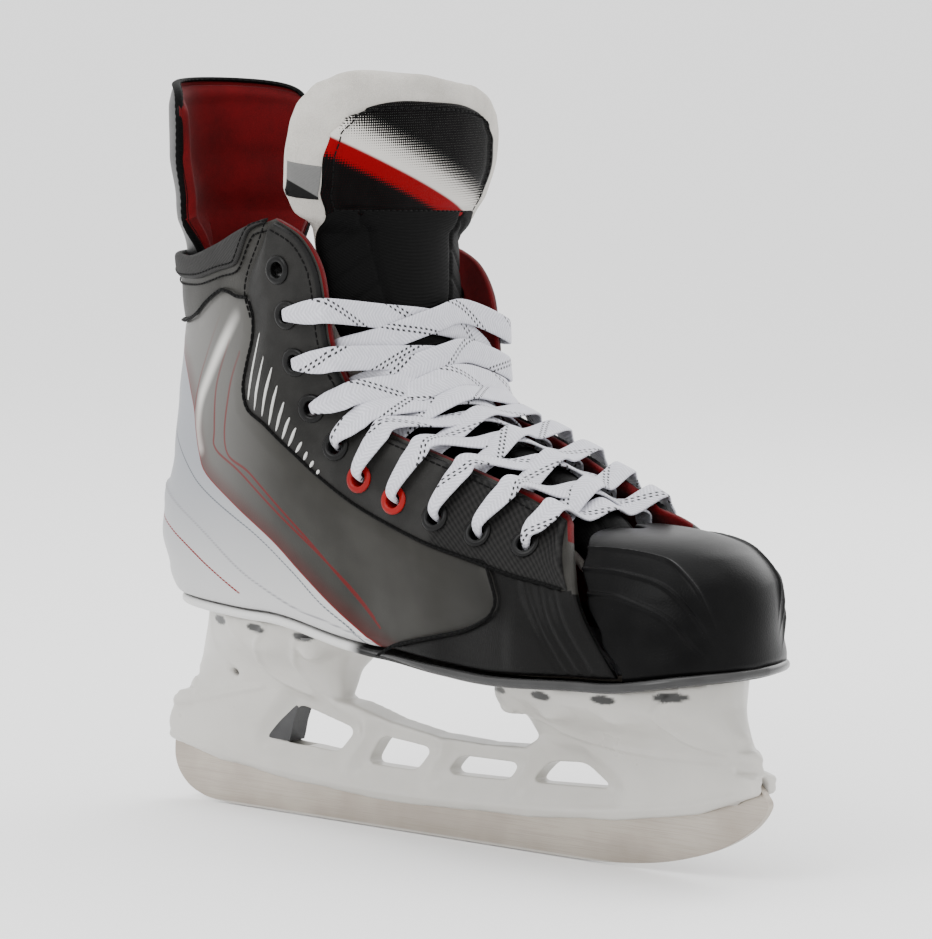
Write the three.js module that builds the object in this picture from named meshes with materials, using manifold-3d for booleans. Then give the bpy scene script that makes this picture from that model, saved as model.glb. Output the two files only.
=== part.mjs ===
// An ice hockey skate for the left foot, size 8: a laced boot riveted to a blade holder,
// with a steel runner that a trigger in the heel pylon lets go.
// Millimetres. +X to the toe, +Y to the wearer's left (outer side), +Z up.
// The origin is the middle of the runner's edge, on the ice.
import * as THREE from "three";
import { mergeVertices } from "three/addons/utils/BufferGeometryUtils.js";
import Module from "manifold-3d";

const wasm = await Module();
wasm.setup();

// ---------------------------------------------------------------- driving dimensions
const GAP = 0.35; // clearance between pieces that touch on the real skate
const RUNNER_HALF_LENGTH = 144;
const RUNNER_THICK = 3;
const TOE_X = 144.4; // front of the toe cap
const BALL_HALF_WIDTH = 46.5; // of the boot at the ball of the foot
const HEEL_HALF_WIDTH = 27;
const ANKLE_HALF_WIDTH = 48.5;
const QUARTER_THICK = 2.4;
const FACING_THICK = 1.2; // reinforcement that carries the eyelets
const LINER_THICK = 2.8;
const SOLE_THICK = 3.2;
const TOE_CAP_THICK = 2.6;
const LACE_WIDTH = 9;
const LACE_THICK = 1;
const EYELET_FLANGE_R = 5.2;
const EYELET_BARREL_R = 3.4;
const EYELET_HOLE_R = 2.7;
const RIVET_SHANK_R = 1.9;
const RIVET_HEAD_R = 3.9;
const OUTER_SIDE_DROP = 14; // the outer ankle is cut lower than the inner one

const INNER = -1; // side of the big toe, towards -Y
const OUTER = 1;

// ---------------------------------------------------------------- small helpers
const clamp01 = (t) => Math.min(1, Math.max(0, t));
const smooth = (t) => clamp01(t) ** 2 * (3 - 2 * clamp01(t));
const mix = THREE.MathUtils.lerp;
const vec = (x, y, z) => new THREE.Vector3(x, y, z);
const spline = (points) => new THREE.SplineCurve(points.map(([x, z]) => new THREE.Vector2(x, z)));

const stations = (from, to, steps) =>
  Array.from({ length: steps + 1 }, (_, i) => mix(from, to, i / steps));

// A smooth function through [input, output] pairs, held level past both ends.
function through(pairs) {
  return (x) => {
    const last = pairs.length - 1;
    if (x <= pairs[0][0]) return pairs[0][1];
    if (x >= pairs[last][0]) return pairs[last][1];
    const i = pairs.findIndex((p) => p[0] > x) - 1;
    const t = (x - pairs[i][0]) / (pairs[i + 1][0] - pairs[i][0]);
    return mix(pairs[i][1], pairs[i + 1][1], smooth(t));
  };
}

// ---------------------------------------------------------------- closed meshes
// Turns a list of vertices and triangles into a closed geometry that faces outwards.
function closedGeometry(vertices, triangles) {
  let volume = 0;
  for (const [a, b, c] of triangles)
    volume += vertices[a].dot(vec(0, 0, 0).crossVectors(vertices[b], vertices[c]));
  const faces = volume < 0 ? triangles.map(([a, b, c]) => [a, c, b]) : triangles;
  const geometry = new THREE.BufferGeometry();
  geometry.setAttribute(
    "position",
    new THREE.Float32BufferAttribute(vertices.flatMap((v) => v.toArray()), 3),
  );
  geometry.setIndex(faces.flat());
  return geometry;
}

// A wall between two surfaces that share the same (u, v) grid, closed all round its rim.
function wallBetween(front, back, uSteps, vSteps) {
  const vertices = [];
  const triangles = [];
  const rows = uSteps + 1;
  const columns = vSteps + 1;
  for (const face of [front, back])
    for (let i = 0; i < rows; i++)
      for (let j = 0; j < columns; j++) vertices.push(face(i / uSteps, j / vSteps));
  const at = (side, i, j) => side * rows * columns + i * columns + j;
  const quad = (a, b, c, d) => triangles.push([a, b, c], [a, c, d]);
  for (let i = 0; i < uSteps; i++)
    for (let j = 0; j < vSteps; j++) {
      quad(at(0, i, j), at(0, i + 1, j), at(0, i + 1, j + 1), at(0, i, j + 1));
      quad(at(1, i, j), at(1, i, j + 1), at(1, i + 1, j + 1), at(1, i + 1, j));
    }
  for (let i = 0; i < uSteps; i++) {
    quad(at(0, i, 0), at(1, i, 0), at(1, i + 1, 0), at(0, i + 1, 0));
    quad(at(0, i, vSteps), at(0, i + 1, vSteps), at(1, i + 1, vSteps), at(1, i, vSteps));
  }
  for (let j = 0; j < vSteps; j++) {
    quad(at(0, 0, j), at(0, 0, j + 1), at(1, 0, j + 1), at(1, 0, j));
    quad(at(0, uSteps, j), at(1, uSteps, j), at(1, uSteps, j + 1), at(0, uSteps, j + 1));
  }
  return closedGeometry(vertices, triangles);
}

// The surface moved along its own normal by a distance, which may depend on (u, v).
function offsetSurface(surface, distance, facing = 1) {
  const step = 1e-3;
  return (u, v) => {
    const u0 = Math.max(0, u - step);
    const u1 = Math.min(1, u + step);
    const v0 = Math.max(0, v - step);
    const v1 = Math.min(1, v + step);
    const alongU = surface(u1, v).sub(surface(u0, v));
    const alongV = surface(u, v1).sub(surface(u, v0));
    const normal = alongU.cross(alongV).normalize();
    return surface(u, v).addScaledVector(normal, facing * distance);
  };
}

const layer = (surface, inner, outer, uSteps, vSteps, facing = 1) =>
  wallBetween(
    offsetSurface(surface, outer, facing),
    offsetSurface(surface, inner, facing),
    uSteps,
    vSteps,
  );

// A solid through a stack of closed rings, with a flat cap at each end.
function loft(rings) {
  const count = rings[0].length;
  const vertices = rings.flat();
  const triangles = [];
  for (let k = 0; k < rings.length - 1; k++)
    for (let i = 0; i < count; i++) {
      const a = k * count + i;
      const b = k * count + ((i + 1) % count);
      triangles.push([a, b, b + count], [a, b + count, a + count]);
    }
  const top = (rings.length - 1) * count;
  for (let i = 1; i < count - 1; i++) {
    triangles.push([0, i + 1, i]);
    triangles.push([top, top + i, top + i + 1]);
  }
  return closedGeometry(vertices, triangles);
}

// An outline drawn in the side view, [x, z], given a thickness across the skate.
function plate(outline, halfThick, holes = []) {
  const shape = new THREE.Shape(outline.map(([x, z]) => new THREE.Vector2(x, z)));
  for (const hole of holes)
    shape.holes.push(new THREE.Path(hole.map(([x, z]) => new THREE.Vector2(x, z))));
  const made = new THREE.ExtrudeGeometry(shape, { depth: 2 * halfThick, bevelEnabled: false });
  return made.rotateX(Math.PI / 2).translate(0, halfThick, 0);
}

// A corner-rounded copy of an outline: each corner becomes a short quadratic curve.
function rounded(corners, radius, steps = 3) {
  const points = [];
  corners.forEach((corner, i) => {
    const here = new THREE.Vector2(...corner);
    const before = new THREE.Vector2(...corners.at(i - 1));
    const after = new THREE.Vector2(...corners[(i + 1) % corners.length]);
    const reach = (other) => Math.min(radius, here.distanceTo(other) * 0.45);
    const start = here.clone().add(before.clone().sub(here).setLength(reach(before)));
    const end = here.clone().add(after.clone().sub(here).setLength(reach(after)));
    const bend = new THREE.QuadraticBezierCurve(start, here, end);
    points.push(...bend.getPoints(steps).map((p) => [p.x, p.y]));
  });
  return points;
}

// ---------------------------------------------------------------- joins and cuts
function solidOf(geometry) {
  const g = geometry.index ? geometry.toNonIndexed() : geometry.clone();
  g.deleteAttribute("normal");
  g.deleteAttribute("uv");
  const merged = mergeVertices(g, 1e-4);
  return new wasm.Manifold(
    new wasm.Mesh({
      numProp: 3,
      vertProperties: merged.attributes.position.array,
      triVerts: new Uint32Array(merged.index.array),
    }),
  );
}

function geometryOf(solid) {
  const mesh = solid.getMesh();
  const geometry = new THREE.BufferGeometry();
  geometry.setAttribute("position", new THREE.BufferAttribute(mesh.vertProperties, mesh.numProp));
  geometry.setIndex(new THREE.BufferAttribute(mesh.triVerts, 1));
  return geometry;
}

const join = (geometries) =>
  geometryOf(geometries.map(solidOf).reduce((sum, solid) => sum.add(solid)));
const cut = (geometry, tools) =>
  geometryOf(tools.map(solidOf).reduce((rest, tool) => rest.subtract(tool), solidOf(geometry)));

// A cylinder whose middle is at a point, along a direction.
function rod(point, direction, radius, length, sides = 8) {
  const turn = new THREE.Quaternion().setFromUnitVectors(vec(0, 1, 0), direction);
  return new THREE.CylinderGeometry(radius, radius, length, sides)
    .applyQuaternion(turn)
    .translate(point.x, point.y, point.z);
}

// ---------------------------------------------------------------- the boot's form
// Side-view lines of the boot, [x, z].
const backX = through([
  [76, -129], [91, -135.5], [103, -138.5], [115, -136.5], [134, -132],
  [155, -130.5], [178, -128], [194, -130], [207, -132], [227, -135.5], [245, -139], [262, -139.5],
  [273, -137],
]);
// The sole's upper face: a raised heel, the arch, the ball and a little toe spring.
const soleTopZ = through([[-130, 81], [-70, 79.5], [-5, 72.5], [50, 69.6], [100, 71.5], [147, 77]]);
const soleHalf = {
  [INNER]: through([
    [-112, HEEL_HALF_WIDTH], [-70, 32], [-20, 36], [30, 43], [70, BALL_HALF_WIDTH], [112, 43],
  ]),
  [OUTER]: through([
    [-112, HEEL_HALF_WIDTH], [-70, 32], [-20, 36.5], [30, 43], [65, BALL_HALF_WIDTH - 1], [112, 34],
  ]),
};
// The edge of the lacing gap, from beside the tongue's root to the collar's front corner.
const gapEdge = spline([
  [73, 124], [43, 136], [13, 146], [-7, 153], [-16, 162.5], [-20, 176],
  [-22, 192], [-25, 208], [-33, 219], [-46, 225],
]);
const gapHalf = through([[0, 25], [0.5, 36], [0.72, 46], [1, 47.5]]); // along the edge
const ankleHalf = through([[-115, 33.5], [-40, ANKLE_HALF_WIDTH], [60, BALL_HALF_WIDTH]]);
const SHOULDER = 40; // how far from the gap's edge the upper bends from wall to instep
const EDGE_SAMPLES = 60;
const gapEdgePoints = gapEdge.getSpacedPoints(EDGE_SAMPLES);

// The nearest place on the gap's edge: how far away, and how far along from 0 to 1.
function nearestEdge(x, z) {
  let best = { distance: Infinity, along: 0 };
  for (let i = 0; i < EDGE_SAMPLES; i++) {
    const a = gapEdgePoints[i];
    const b = gapEdgePoints[i + 1];
    const dx = b.x - a.x;
    const dz = b.y - a.y;
    const t = clamp01(((x - a.x) * dx + (z - a.y) * dz) / (dx * dx + dz * dz));
    const distance = Math.hypot(x - a.x - t * dx, z - a.y - t * dz);
    if (distance < best.distance) best = { distance, along: (i + t) / EDGE_SAMPLES };
  }
  return best;
}

// The outside of the upper at a place in the side view, on either side.
function bootPoint(x, z, side) {
  const edge = nearestEdge(x, z);
  const wall = mix(soleHalf[side](x), ankleHalf(x), smooth((z - 78) / 72));
  const shoulder = 1 - (1 - clamp01(edge.distance / SHOULDER)) ** 2;
  const heelRadius = mix(34, 50, smooth((z - 110) / 60));
  const fromBack = clamp01((x - backX(z)) / heelRadius);
  const width = mix(gapHalf(edge.along), wall, shoulder) * Math.sqrt(1 - (1 - fromBack) ** 2);
  const away = smooth((x - backX(z)) / 80);
  const drop = side === OUTER ? OUTER_SIDE_DROP * away * smooth((z - 140) / 60) : 0;
  return vec(x, side * width, z - drop);
}

function bootNormal(x, z, side) {
  const step = 0.2;
  const alongX = bootPoint(x + step, z, side).sub(bootPoint(x - step, z, side));
  const alongZ = bootPoint(x, z + step, side).sub(bootPoint(x, z - step, side));
  return alongX.cross(alongZ).multiplyScalar(-side).normalize();
}

// ---------------------------------------------------------------- quarters
const heelTop = 207;
const footLine = 0.5; // the upper stands this far above the sole
const frontSeam = [[110, 74], [100.5, 87], [93, 100], [86, 113], [73, 124]];
const frontLine = spline([...frontSeam.slice(0, -1), ...gapEdge.points.map((p) => [p.x, p.y])]);
const collarLine = spline([
  [backX(heelTop), heelTop], [-103, 207.5], [-84, 212.5], [-67, 218.5], [-46, 225],
]);

// The side view of one quarter, a from heel to front and b from sole to collar.
function quarterPlan(a, b) {
  const along = a ** 1.5; // closer steps where the heel turns
  const soleX = mix(backX(soleTopZ(-130)), 110, along);
  const bottom = new THREE.Vector2(soleX, soleTopZ(soleX) + footLine);
  const top = collarLine.getPoint(along);
  const backZ = mix(soleTopZ(-130) + footLine, heelTop, b);
  const back = new THREE.Vector2(backX(backZ), backZ);
  const front = frontLine.getPointAt(b);
  const corners = [
    [backX(soleTopZ(-130)), soleTopZ(-130) + footLine, (1 - along) * (1 - b)],
    [110, soleTopZ(110) + footLine, along * (1 - b)],
    [backX(heelTop), heelTop, (1 - along) * b],
    [-46, 225, along * b],
  ];
  const blend = (key, index) =>
    mix(bottom[key], top[key], b) + mix(back[key], front[key], along) -
    corners.reduce((sum, c) => sum + c[index] * c[2], 0);
  return [blend("x", 0), blend("y", 1)];
}

const BACK_SEAM_HALF = 0.2;
function quarterSurface(side) {
  return (a, b) => {
    const [x, z] = quarterPlan(a, b);
    const p = bootPoint(Math.max(x, backX(z)), z, side);
    p.y = side * Math.max(Math.abs(p.y), BACK_SEAM_HALF);
    return p;
  };
}

// Both sides as one sheet: u runs from the inner side's front, round the heel, to the outer's.
function wrapSurface(plan) {
  return (u, v) => {
    const across = 2 * u - 1;
    const [x, z] = plan(Math.abs(across), v);
    return bootPoint(Math.max(x, backX(z)), z, across < 0 ? INNER : OUTER);
  };
}

// ---------------------------------------------------------------- facings and eyelets
const FACING_WIDTH = 27;
function edgeFrame(along) {
  const p = gapEdge.getPointAt(clamp01(along));
  const t = gapEdge.getTangentAt(clamp01(along));
  return { p, into: new THREE.Vector2(t.y, -t.x).multiplyScalar(-1) };
}
function facingPlan(along, distance) {
  const { p, into } = edgeFrame(along);
  return [p.x + into.x * distance, p.y + into.y * distance];
}
const facingSurface = (side) => (u, v) =>
  bootPoint(...facingPlan(mix(0.01, 0.93, u), mix(1.2, FACING_WIDTH, v)), side);

// The eyelets' places in the side view, from the toe up, and where each is along the gap's edge.
const eyeletSpots = [
  [64, 115], [45, 118], [27, 122.5], [9, 127.5], [-7, 134], [-19, 144.5], [-29.5, 158],
  [-35, 174.5], [-38, 191], [-42, 207],
];
const EYELETS = eyeletSpots.length;
const eyeletEdges = eyeletSpots.map(([x, z]) => nearestEdge(x, z));
const rowAlong = (row) => {
  const i = Math.min(EYELETS - 2, Math.floor(row));
  return mix(eyeletEdges[i].along, eyeletEdges[i + 1].along, row - i);
};
const eyeletPlace = (row, side) => {
  const [x, z] = eyeletSpots[row];
  return { point: bootPoint(x, z, side), normal: bootNormal(x, z, side) };
};
const FACING_BASE = 1.55; // clear of the quarter, whose faces are flat between its corners
const FACING_TOP = FACING_BASE + FACING_THICK;
function eyeletGeometry({ point, normal }) {
  const base = FACING_TOP + 0.6;
  const profile = [
    [EYELET_HOLE_R, -QUARTER_THICK - 0.9],
    [EYELET_BARREL_R, -QUARTER_THICK - 0.9],
    [EYELET_BARREL_R, base],
    [EYELET_FLANGE_R, base],
    [EYELET_FLANGE_R - 0.8, base + 0.9],
    [EYELET_HOLE_R, base + 0.6],
    [EYELET_HOLE_R, -QUARTER_THICK - 0.9],
  ].map(([r, h]) => new THREE.Vector2(r, h));
  const turn = new THREE.Quaternion().setFromUnitVectors(vec(0, 1, 0), normal);
  return new THREE.LatheGeometry(profile, 7).applyQuaternion(turn).translate(...point.toArray());
}
const eyeletHoles = (side) =>
  Array.from({ length: EYELETS }, (_, row) => {
    const { point, normal } = eyeletPlace(row, side);
    return rod(point, normal, EYELET_BARREL_R + 0.45, 12);
  });

// ---------------------------------------------------------------- tongue
// The front face's middle line and half width, from under the toe cap to the top.
const tongueLine = spline([
  [84, 110], [68, 124], [40, 138.5], [8, 151], [-9, 164], [-17, 182], [-21, 200],
  [-25, 225], [-21, 250], [-15, 275],
]);
const tongueHalf = through([
  [0, 17], [0.2, 20], [0.5, 29], [0.66, 37], [0.775, 38.5], [0.81, 54], [0.86, 57],
  [0.92, 54], [0.97, 47], [1, 34],
]);
const TONGUE_THICK = 9;
const TONGUE_BOW = 12; // how far the middle stands in front of the edges
const TONGUE_LEAN = 3.5;
const TONGUE_SPLIT = 0.775; // the seam where the free top bends, just above the collar
function tongueSurface(u, v) {
  const across = 2 * v - 1;
  const p = tongueLine.getPointAt(clamp01(u));
  const t = tongueLine.getTangentAt(clamp01(u));
  const bow = TONGUE_BOW * across ** 2;
  const lean = smooth((u - 0.55) / 0.35); // the top leans to the outer side, as the collar does
  return vec(
    p.x - t.y * bow,
    across * tongueHalf(u) + 4 * lean,
    p.y + t.x * bow - TONGUE_LEAN * lean * across,
  );
}
const tonguePart = (from, to, share) => (u, v) =>
  tongueSurface(mix(from, to, u), 0.5 + (v - 0.5) * share);

// ---------------------------------------------------------------- toe cap
const toeSeamX = through(frontSeam.map(([x, z]) => [z, x]));
const TOE_BOX_HALF = 42;
const TOE_TOP_Z = 120.5;
const TOE_SHIFT = 9; // the front of the toe lies towards the big toe
const TOE_BOXINESS = 0.58; // 1 is a round toe, less is squarer in the side view
function toeSurface(u, v) {
  const around = mix(-90, 90, u) * (Math.PI / 180);
  const up = v * (Math.PI / 2) * 0.985;
  const rise = Math.sin(up) ** TOE_BOXINESS;
  const shrink = Math.cos(up) ** TOE_BOXINESS;
  const height = (x) => mix(soleTopZ(x) + footLine, TOE_TOP_Z, rise);
  const seam = toeSeamX(height(105)) + 1.9;
  const side = around < 0 ? INNER : OUTER;
  const quarterHalf = Math.abs(bootPoint(seam, height(105), side).y);
  const forward = Math.cos(around) * shrink;
  const x = seam + (TOE_X - seam) * forward;
  const sideways = Math.sin(around) * Math.min(TOE_BOX_HALF * shrink, quarterHalf);
  const bigToe = -TOE_SHIFT * forward ** 2;
  return vec(x, sideways + bigToe, height(x));
}

// ---------------------------------------------------------------- sole
const soleFront = TOE_X - 0.6;
const soleBack = backX(82) + 0.5;
// How far the sole reaches to one side, less a margin.
function soleEdge(x, side, margin) {
  const heel = clamp01((x - soleBack) / 34);
  const toe = clamp01((x - 108) / (soleFront - 108));
  const heelRound = Math.sqrt(1 - (1 - heel) ** 2);
  const toeRound = Math.sqrt(1 - toe ** 2.2);
  const shift = -TOE_SHIFT * toe ** 2;
  return shift + side * Math.max(0.6, soleHalf[side](x) * heelRound * toeRound - margin);
}
// A plate that follows the sole, between two heights over its upper face.
function solePlate(low, high, margin, from, to, uSteps, vSteps) {
  const face = (height) => (u, v) => {
    const x = mix(from, to, mix(u, (1 - Math.cos(Math.PI * u)) / 2, 0.6));
    const y = mix(soleEdge(x, INNER, margin), soleEdge(x, OUTER, margin), v);
    return vec(x, y, soleTopZ(x) + height);
  };
  return wallBetween(face(high), face(low), uSteps, vSteps);
}

// ---------------------------------------------------------------- rivets
// Their places along the skate, with how far each is to the inner and to the outer side.
const rivetRows = [
  [-99, 17, 17], [-77, 21, 21], [-54, 22, 22],
  [45, 25, 18], [69, 30, 23], [97, 28, 22], [119, 18, 11],
];
const rivetPlaces = rivetRows.flatMap(([x, inner, outer]) => [[x, -inner], [x, outer]]);
const FLANGE = 3.4; // thickness of the holder's top flange under the sole
const soleBottomZ = (x) => soleTopZ(x) - SOLE_THICK;
function rivetGeometry([x, y]) {
  const top = soleTopZ(x) + 1.8;
  const bottom = soleBottomZ(x) - GAP - FLANGE;
  const profile = [
    [0, bottom - 2], [RIVET_HEAD_R - 0.8, bottom - 2], [RIVET_HEAD_R, bottom - 0.5],
    [RIVET_SHANK_R, bottom - 0.5], [RIVET_SHANK_R, top - 1], [RIVET_HEAD_R - 0.6, top - 1],
    [RIVET_HEAD_R - 0.6, top], [0, top],
  ].map(([r, h]) => new THREE.Vector2(r, h));
  return new THREE.LatheGeometry(profile, 6).rotateX(Math.PI / 2).translate(x, y, 0);
}
const rivetTool = (radius, low, high) => ([x, y]) =>
  rod(vec(x, y, (low(x) + high(x)) / 2), vec(0, 0, 1), radius, high(x) - low(x));

// ---------------------------------------------------------------- blade holder
// The holder's lower edge, where the steel comes out.
const holderFoot = through([
  [-145, 22.5], [-111, 16.5], [-75, 13], [-30, 11], [34, 13], [71, 16], [108, 21], [130, 28], [150, 35],
]);
const footPoints = (from, to, steps, lift = 0) =>
  stations(from, to, steps).map((x) => [x, holderFoot(x) + lift]);
const RAIL_HALF = 6.5;
const railOutline = [
  ...footPoints(-141.5, 142, 22),
  [141.5, 38], [120, 44], [44, 43], [36, 38.2], [16, 37], [-8, 37.6], [-30, 40.6], [-48, 45],
  [-60, 46], [-138.5, 42], [-143.5, 29],
];
// Windows between the leaning struts, the first of them for the trigger.
const windows = [
  [[-90, 28], [-57, 26], [-48, 35.4], [-76, 42]],
  [[-43, 23.5], [-18, 23.5], [-10, 32.6], [-35, 34.6]],
  [[-4, 24], [27, 25], [32, 31.8], [3, 31.4]],
  [[37, 25.5], [76, 27.5], [63, 35.4], [46, 34]],
];
const WINDOW_ROUND = 3.5;

// One pylon as rounded rings: [height, back end, front end, half width, shift to one side].
// The end under the boot's heel or toe is round, the end towards the arch is squarer.
function pylon(levels, roundEnd) {
  const around = 32;
  return loft(
    levels.map(([z, back, front, half, shift = 0]) =>
      Array.from({ length: around }, (_, i) => {
        const angle = (2 * Math.PI * i) / around;
        const c = Math.cos(angle);
        const s = Math.sin(angle);
        const boxiness = mix(0.62, 0.95, smooth(0.5 + c * roundEnd));
        const x = (back + front) / 2 + ((front - back) / 2) * Math.sign(c) * Math.abs(c) ** boxiness;
        return vec(x, shift + half * Math.sign(s) * Math.abs(s) ** boxiness, z);
      }),
    ),
  );
}
const heelPylon = pylon([
  [26, -143, -97, 6], [38, -140, -60, 7.2], [48, -132, -54, 9], [56, -128, -52.5, 13],
  [63, -124, -47, 19.5], [69, -120.5, -38, 24.5], [74, -118.5, -30, 27.5], [84, -117.5, -27, 28.5],
], -1);
const toePylon = pylon([
  [27, 66, 132, 6], [34, 50, 144, 6.6], [38, 46, 142.5, 7.4], [44, 40, 139.5, 10],
  [50, 38.5, 134.5, 15, -0.5], [56, 37, 131, 24, -2], [61, 36, 129.5, 31, -3],
  [65, 34, 129.5, 33, -3.5], [78, 33, 130, 34, -3.5],
], 1);

// Everything above the sole's lower face, cut away so that both flanges seat on the sole.
const aboveSole = plate(
  [...stations(-150, 150, 20).map((x) => [x, soleBottomZ(x) - GAP]), [150, 110], [-150, 110]],
  60,
);

// ---------------------------------------------------------------- runner
const PIVOT = { x: 140, z: 31 }; // the front end of the steel, where it swings from
const RUNNER_SEAT = 7; // how deep the steel sits in the holder
const tabBack = { rear: -108.2, front: -97.5, top: 45, notchFront: -106, notchLow: 28.5, notchTop: 38.6 };
const tabFront = { rear: 97, front: 108, top: 39 };
const runnerTop = (from, to, steps) => footPoints(from, to, steps, RUNNER_SEAT - GAP);
const runnerOutline = [
  [-118, 0.3], [-80, 0.15], [-50, 0], [50, 0], [75, 0.8], [100, 4.2], [122, 11],
  [137, 19.5], [RUNNER_HALF_LENGTH, 28], [142, 32.5],
  ...runnerTop(138, tabFront.front, 3),
  [tabFront.front, tabFront.top - 2], [tabFront.front - 2, tabFront.top],
  [tabFront.rear + 2, tabFront.top], [tabFront.rear, tabFront.top - 2],
  ...runnerTop(tabFront.rear, tabBack.front, 14),
  [tabBack.front, tabBack.top - 2], [tabBack.front - 2, tabBack.top], [tabBack.rear + 1.5, tabBack.top],
  [tabBack.rear, tabBack.top - 1.5], [tabBack.rear, tabBack.notchTop],
  [tabBack.notchFront, tabBack.notchTop], [tabBack.notchFront, tabBack.notchLow],
  [tabBack.rear, tabBack.notchLow - 2],
  ...runnerTop(tabBack.rear, -140, 3),
  [-143.4, 26.5], [-RUNNER_HALF_LENGTH, 15], [-140, 7.5], [-132, 2.6],
];

// The slot that takes the steel, and pockets for its two hooks with room to swing out.
const slotHalf = RUNNER_THICK / 2 + 0.4;
const runnerSlot = plate(
  [...footPoints(-152, 152, 22, RUNNER_SEAT + 0.5).reverse(), [-152, -5], [152, -5]],
  slotHalf,
);
const hookPockets = [
  plate([[94, 20], [111, 20], [111, 42], [94, 42]], slotHalf + 0.3),
  plate([[-112, 14], [-94.5, 14], [-94.5, 47], [-112, 47]], slotHalf + 0.3),
];

// ---------------------------------------------------------------- trigger
const TRIGGER_HALF = 4;
const TRIGGER_PIVOT = { x: -104, z: 52 };
const PIN_R = 1.5;
const triggerOutline = [
  [-113, 30], [-97, 29.5], [-91, 27.8], [-81.4, 27.6], [-80.6, 30], [-79.4, 35], [-77, 41],
  [-86, 47], [-96, 57], [-109, 57], [-113, 50],
];
// The steel's hook passes between the trigger's two arms, over the cross bar behind it.
const triggerSlot = [
  [-106.6, 18], [-88, 18], [-93.4, 47.2], [-111.3, 47.2], [-111.3, 34.3], [-106.6, 34.3],
];
const triggerRoom = [
  [-121, 27], [-97, 25], [-92, 21.6], [-74, 21.6], [-72, 44], [-84, 50], [-94, 60.5],
  [-112, 60.5], [-119, 53],
];
const pinPlace = vec(TRIGGER_PIVOT.x, 0, TRIGGER_PIVOT.z);
const acrossSkate = vec(0, 1, 0);

// A torsion spring round the pin, between the trigger's arms.
function springGeometry() {
  const turns = 3;
  const coil = stations(0, 1, 12 * turns).map((t) => {
    const angle = 2 * Math.PI * turns * t;
    return vec(2.9 * Math.cos(angle), mix(-1.3, 1.3, t), 2.9 * Math.sin(angle));
  });
  const wire = new THREE.Shape(
    stations(0, 5 / 6, 5).map((t) =>
      new THREE.Vector2(0.34 * Math.cos(2 * Math.PI * t), 0.34 * Math.sin(2 * Math.PI * t)),
    ),
  );
  const path = new THREE.CatmullRomCurve3(coil);
  const made = new THREE.ExtrudeGeometry(wire, { extrudePath: path, steps: 36, bevelEnabled: false });
  return made.translate(pinPlace.x, 0, pinPlace.z);
}

// ---------------------------------------------------------------- tendon guard
// It carries the heel's line up from inside the collar, leaning back.
const GUARD_LOW = 197.5;
const GUARD_INSET = QUARTER_THICK + 0.9;
function guardPlan(a, v) {
  const reach = mix(26, 31, v) * Math.sin((a * Math.PI) / 2) ** 2;
  const top = 271.5 - 5 * a ** 2 - 9 * a ** 6;
  const z = mix(GUARD_LOW, top, v);
  return [backX(z) + reach, z];
}
function guardSurface(u, v) {
  const across = 2 * u - 1;
  const [x, z] = guardPlan(Math.abs(across), v);
  const half = mix(36.5, 38.5, v) * Math.sin((across * Math.PI) / 2);
  const fit = bootPoint(x, Math.min(z, heelTop), INNER).y; // inside the collar it follows the quarter
  const inCollar = 1 - smooth((z - heelTop) / 14);
  return vec(x, mix(half, -Math.sign(across) * fit, inCollar), z);
}

// ---------------------------------------------------------------- lace
// Each strand leaves from inside one eyelet, comes out under that facing's edge, crosses the
// tongue, goes over the other facing's edge and down into the next eyelet up on that side.
const LACE_TOP_ROW = 8; // the top eyelet is left empty

// A place on the boot in a row, a distance in from the facing's edge, at a height on the quarter.
function onFacing(row, side, distance, height, width = LACE_WIDTH) {
  const [x, z] = facingPlan(rowAlong(row), distance);
  const point = bootPoint(x, z, side).addScaledVector(bootNormal(x, z, side), height);
  return { point, across: lacingLine(row), width };
}

// A place over the tongue in a row, a share of its half width towards one side.
function overTongue(row, side, share, height) {
  const edge = gapEdge.getPointAt(rowAlong(row));
  const u = stations(0, TONGUE_SPLIT, 80).reduce((best, next) =>
    tongueLine.getPointAt(next).distanceTo(edge) < tongueLine.getPointAt(best).distanceTo(edge)
      ? next
      : best,
  );
  const point = offsetSurface(tongueSurface, height, -1)(u, 0.5 + 0.5 * side * share);
  return { point, across: lacingLine(row), width: LACE_WIDTH };
}
function lacingLine(row) {
  const t = gapEdge.getTangentAt(rowAlong(row));
  return vec(t.x, 0, t.y);
}

// A place beside a facing's edge, which the lace has to clear as it turns round it.
function besideEdge(row, side, height, gap) {
  const { into } = edgeFrame(rowAlong(row));
  const made = onFacing(row, side, 0.3, height);
  made.point.addScaledVector(vec(into.x, 0, into.y), -gap);
  return made;
}
const holeInset = (row) => eyeletEdges[row].distance;
const inside = (row, side) => [
  onFacing(row, side, holeInset(row), -QUARTER_THICK - 1.4, 2.6),
  onFacing(row, side, holeInset(row) - 3.5, -QUARTER_THICK - 3.4, 5),
  onFacing(row, side, 5, -QUARTER_THICK - 3.6, 7.5),
  besideEdge(row + 0.03, side, -QUARTER_THICK - 2.6, 1.5),
];
const outside = (row, side) => [
  besideEdge(row, side, FACING_TOP + 1.2, 1.8),
  onFacing(row, side, 2.5, FACING_TOP + 2.3),
  onFacing(row, side, 7, FACING_TOP + 2.9, 8),
  onFacing(row, side, holeInset(row) - 2.2, FACING_TOP + 3.4, 4),
  onFacing(row, side, holeInset(row) + 0.1, 1.2, 2.6),
];
const crossing = (row, side) => [
  overTongue(row + 0.25, side, 0.6, side === INNER ? 5.2 : 4.4),
  overTongue(row + 0.5, side, 0, side === INNER ? 6.1 : 4.1),
  overTongue(row + 0.72, -side, 0.5, side === INNER ? 6 : 4.6),
];
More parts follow.
